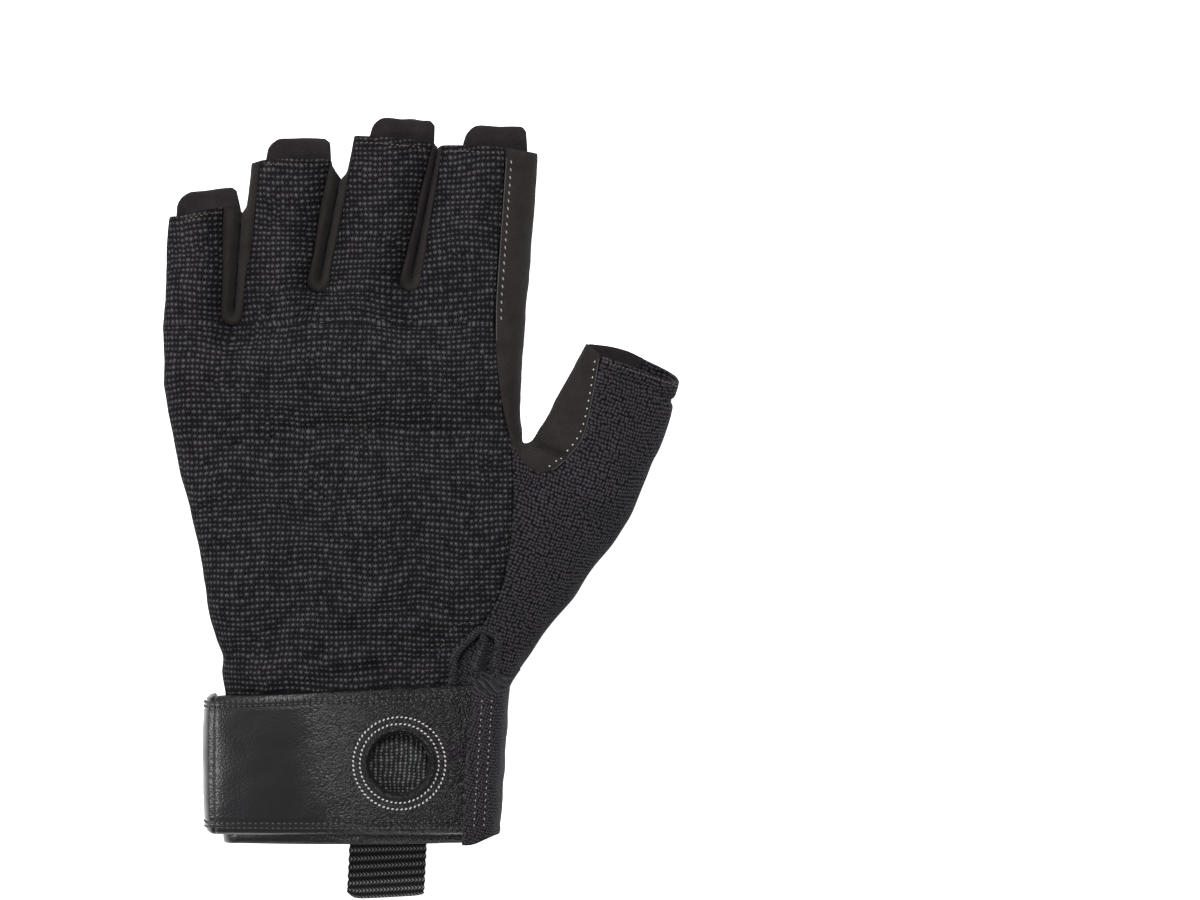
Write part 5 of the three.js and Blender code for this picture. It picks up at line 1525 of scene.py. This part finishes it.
def pull_loop():
    """The folded band, hanging a little askew. Each rib is half a wave of the length along the band, and the
    band's edges come in between two ribs."""
    path = folded_path(-46.5, 16.0, 3.8, -5.0)
    path = np.stack([-path[:, 0], path[:, 1]], -1)
    inside = np.stack([np.linspace(5.6, 18.5, 20), np.full(20, 5.4)], -1)
    path = np.concatenate([path, inside])
    grid = strip_along(path, LOOP_X, LOOP_WIDTH, 41)
    outside = np.clip(-grid[..., 1] / 6, 0, 1)
    grid[..., 1] += outside * (0.055 * (grid[..., 0] - LOOP_X) + 0.5)
    grid[..., 0] += 0.05 * np.minimum(grid[..., 1], 0)
    corner = smoothstep((-grid[..., 1] - 12) / 4) * (2 * np.abs(grid[..., 0] - LOOP_X) / LOOP_WIDTH) ** 8
    grid[..., 1] += 1.1 * corner
    surface = join([grid])
    length = np.zeros(len(surface["points"]))
    length[surface["cells"].ravel()] = surface["cloth"][..., 1].ravel() / MM
    ribs = np.abs(np.cos(np.pi * length / WEBBING_RIB)) ** 0.8
    aside = surface["points"][:, 0] - LOOP_X
    surface["points"][:, 0] += 0.35 * (ribs - 1) * np.sign(aside) * (np.abs(aside) > 9.0)
    return push(surface, 0.32 * (ribs - 1))


LOOP = pull_loop()
loop = put("pull_loop", LOOP, WEBBING, 1.3, ["pull_webbing"])
cut_from(loop, LOOP)


def tape_loop(x):
    """A short loop out of the elastic band's lower edge."""
    path = folded_path(-4.0, 7.5, 4.0, -4.0)
    path = np.stack([13.5 - path[:, 0], 3.9 + path[:, 1]], -1)
    surface = join([strip_along(path, x, 11.0)])
    return push(surface, 0.08 * ripple(surface["points"], 5, int(x) + 110))


for side_name, x in (("little", -7.1), ("thumb", 27.9)):
    tape = tape_loop(x)
    made = put(f"tape_loop_{side_name}", tape, WEBBING, 1.0, [f"tape_loop_{side_name}_side"])
    cut_from(made, tape)

# %% [markdown]
# A suede tab stands out of each finger's opening, to pull the glove off by. Each is folded double, narrower
# at the fold, with round corners that aren't alike. So the two sides of the band come in by a table of
# leans and corners, one for each side.

# %% Finger tabs
TAB_REACH, TAB_TUCK, TAB_HEIGHT = 6.0, 4.0, 2.6
TAB_CORNERS, TAB_LEANS = (3.6, 1.7), (1.0, 0.4)


def cut_in(out, side):
    """How far a tab's side has come in at a distance out: it leans, and ends in a quarter circle."""
    past = np.clip(out - (TAB_REACH - TAB_CORNERS[side]), 0, TAB_CORNERS[side])
    corner = TAB_CORNERS[side] - np.sqrt(TAB_CORNERS[side] ** 2 - past ** 2)
    return TAB_LEANS[side] * np.clip(out / TAB_REACH, 0, 1) + corner


def finger_tab(finger):
    """A folded suede tab whose fold is narrower than its foot and has round corners. It stands on the line
    between the finger's two tips, and is laid out along that line and outwards from it."""
    start, end = (np.array([tip(finger, "palm", right)[0],
                            max(tip(finger, layer, right)[1] for layer in ("palm", "back"))])
                  for right in (0, 1))
    along = (end - start) / np.linalg.norm(end - start)
    outwards = np.array([-along[1], along[0]])
    low, high = (share * np.linalg.norm(end - start) for share in FINGERS[finger]["tab"])
    path = folded_path(-TAB_TUCK, TAB_REACH, TAB_HEIGHT, -TAB_TUCK)
    out = path[:, None, 0]
    across = lerp(low + cut_in(out, 0), high - cut_in(out, 1), np.linspace(0, 1, 27)[None, :])
    x = start[0] + along[0] * across + outwards[0] * out
    y = start[1] + along[1] * across + outwards[1] * out
    middle = (across - (low + high) / 2) / (high - low)
    z = 2.7 + path[:, None, 1] + 1.3 * np.abs(2 * middle) ** 2
    surface = relax(join([stack(x, y, z)], turned=True), 2)
    return push(surface, 0.12 * ripple(surface["points"], 5, 130 + finger))


for finger, name in enumerate(NAMES):
    tab = finger_tab(finger)
    made = put(f"suede_tab_{name}", tab, PALM_SUEDE, 1.0, [f"tab_{name}"])
    cut_from(made, tab)

# %% [markdown]
# The patch under the index finger's root is a flat piece cut to a rounded outline. Blender could fill the
# outline with one large face, but that can't be bent or shaded well, so it is filled out from its middle.

# %% Patch
PATCH = [(0.44, 0.975), (0.33, 0.955), (0.22, 0.9), (0.13, 0.835), (0.095, 0.765), (0.12, 0.705),
         (0.19, 0.675), (0.3, 0.665), (0.38, 0.69), (0.425, 0.74), (0.44, 0.8), (0.445, 0.9)]


def index_patch():
    """Rings from the middle to the outline, level, with the rim raised by the square of the way to it."""
    outline = np.array(PATCH + PATCH[:3]) * (HAND_WIDTH, HAND_LENGTH)
    rim = through(outline, 12)[12:12 * (len(PATCH) + 1) + 1]
    middle = rim[:-1].mean(axis=0)
    share = np.concatenate([[0], np.linspace(0.06, 1, 22)])[None, :, None]
    grid = lerp(middle, rim[:, None], share)
    edge = np.clip((1 - share[..., 0]) * 14, 0, 1)
    low = 0.06 + 0.5 * (1 - edge) ** 2
    return join([stack(grid[..., 0], grid[..., 1], low)], turned=True)


PATCH_SURFACE = index_patch()
patch = put("index_patch_suede", PATCH_SURFACE, PALM_SUEDE, 0.9, ["index_patch"])
cut_from(patch, PATCH_SURFACE)

# %% [markdown]
# The camera looks straight down as in the photograph, with a long lens, and stands so that the glove lies
# as far from the picture's middle as it does there. The light is a bright room with two soft lamps: a large
# one high on the fingers' side, and a narrow one on the little finger's side that lights the strap's fold.
# The floor glows a little, because a lit white sheet alone would turn grey round the glove.

# %% Camera, floor and light
PICTURE_WIDTH = 0.3072


def look_down():
    """A camera whose height over the glove gives a picture 0.3072 m wide with this lens."""
    data = bpy.data.cameras.new("camera")
    data.lens = 120
    data.sensor_width = 36
    made = bpy.data.objects.new("camera", data)
    made.location = (0.0454, 0.0146, 0.012 + PICTURE_WIDTH * data.lens / data.sensor_width)
    collection.objects.link(made)
    bpy.context.scene.camera = made
    return made


camera = look_down()


def floor_sheet():
    """A square white sheet under the glove, which isn't part of it."""
    mesh = bpy.data.meshes.new("floor")
    half = 3.0
    corners = [(-half, -half, 0), (half, -half, 0), (half, half, 0), (-half, half, 0)]
    mesh.from_pydata(corners, [], [(0, 1, 2, 3)])
    made = bpy.data.objects.new("floor", mesh)
    collection.objects.link(made)
    white, _, shader = new_material("floor_white", 0.9, specular=0.1)
    shader.inputs["Base Color"].default_value = (0.92, 0.92, 0.92, 1)
    shader.inputs["Emission Color"].default_value = (1, 1, 1, 1)
    shader.inputs["Emission Strength"].default_value = 0.85
    mesh.materials.append(white)
    return made


floor = floor_sheet()


def lamp(name, place, aim, size, power):
    """A rectangular lamp at a place, turned towards its aim."""
    data = bpy.data.lights.new(name, "AREA")
    data.shape = "RECTANGLE"
    data.size, data.size_y = size
    data.energy = power
    made = bpy.data.objects.new(name, data)
    made.location = place
    way = Vector(aim) - Vector(place)
    made.rotation_euler = way.to_track_quat("-Z", "Y").to_euler()
    collection.objects.link(made)
    return made


lamp("soft_window", (0.12, 0.7, 1.0), (0, 0, 0), (0.38, 0.26), 13.5)
lamp("soft_side", (-0.72, -0.05, 0.62), (0, -0.06, 0.01), (0.08, 0.35), 5.0)
world = bpy.data.worlds.new("studio")
world.use_nodes = True
world.node_tree.nodes["Background"].inputs[0].default_value = (1, 1, 1, 1)
world.node_tree.nodes["Background"].inputs[1].default_value = 0.56
bpy.context.scene.world = world
bpy.context.scene.view_settings.view_transform = "Standard"
print("camera height:", round(camera.location.z, 3), "m over", floor.name)
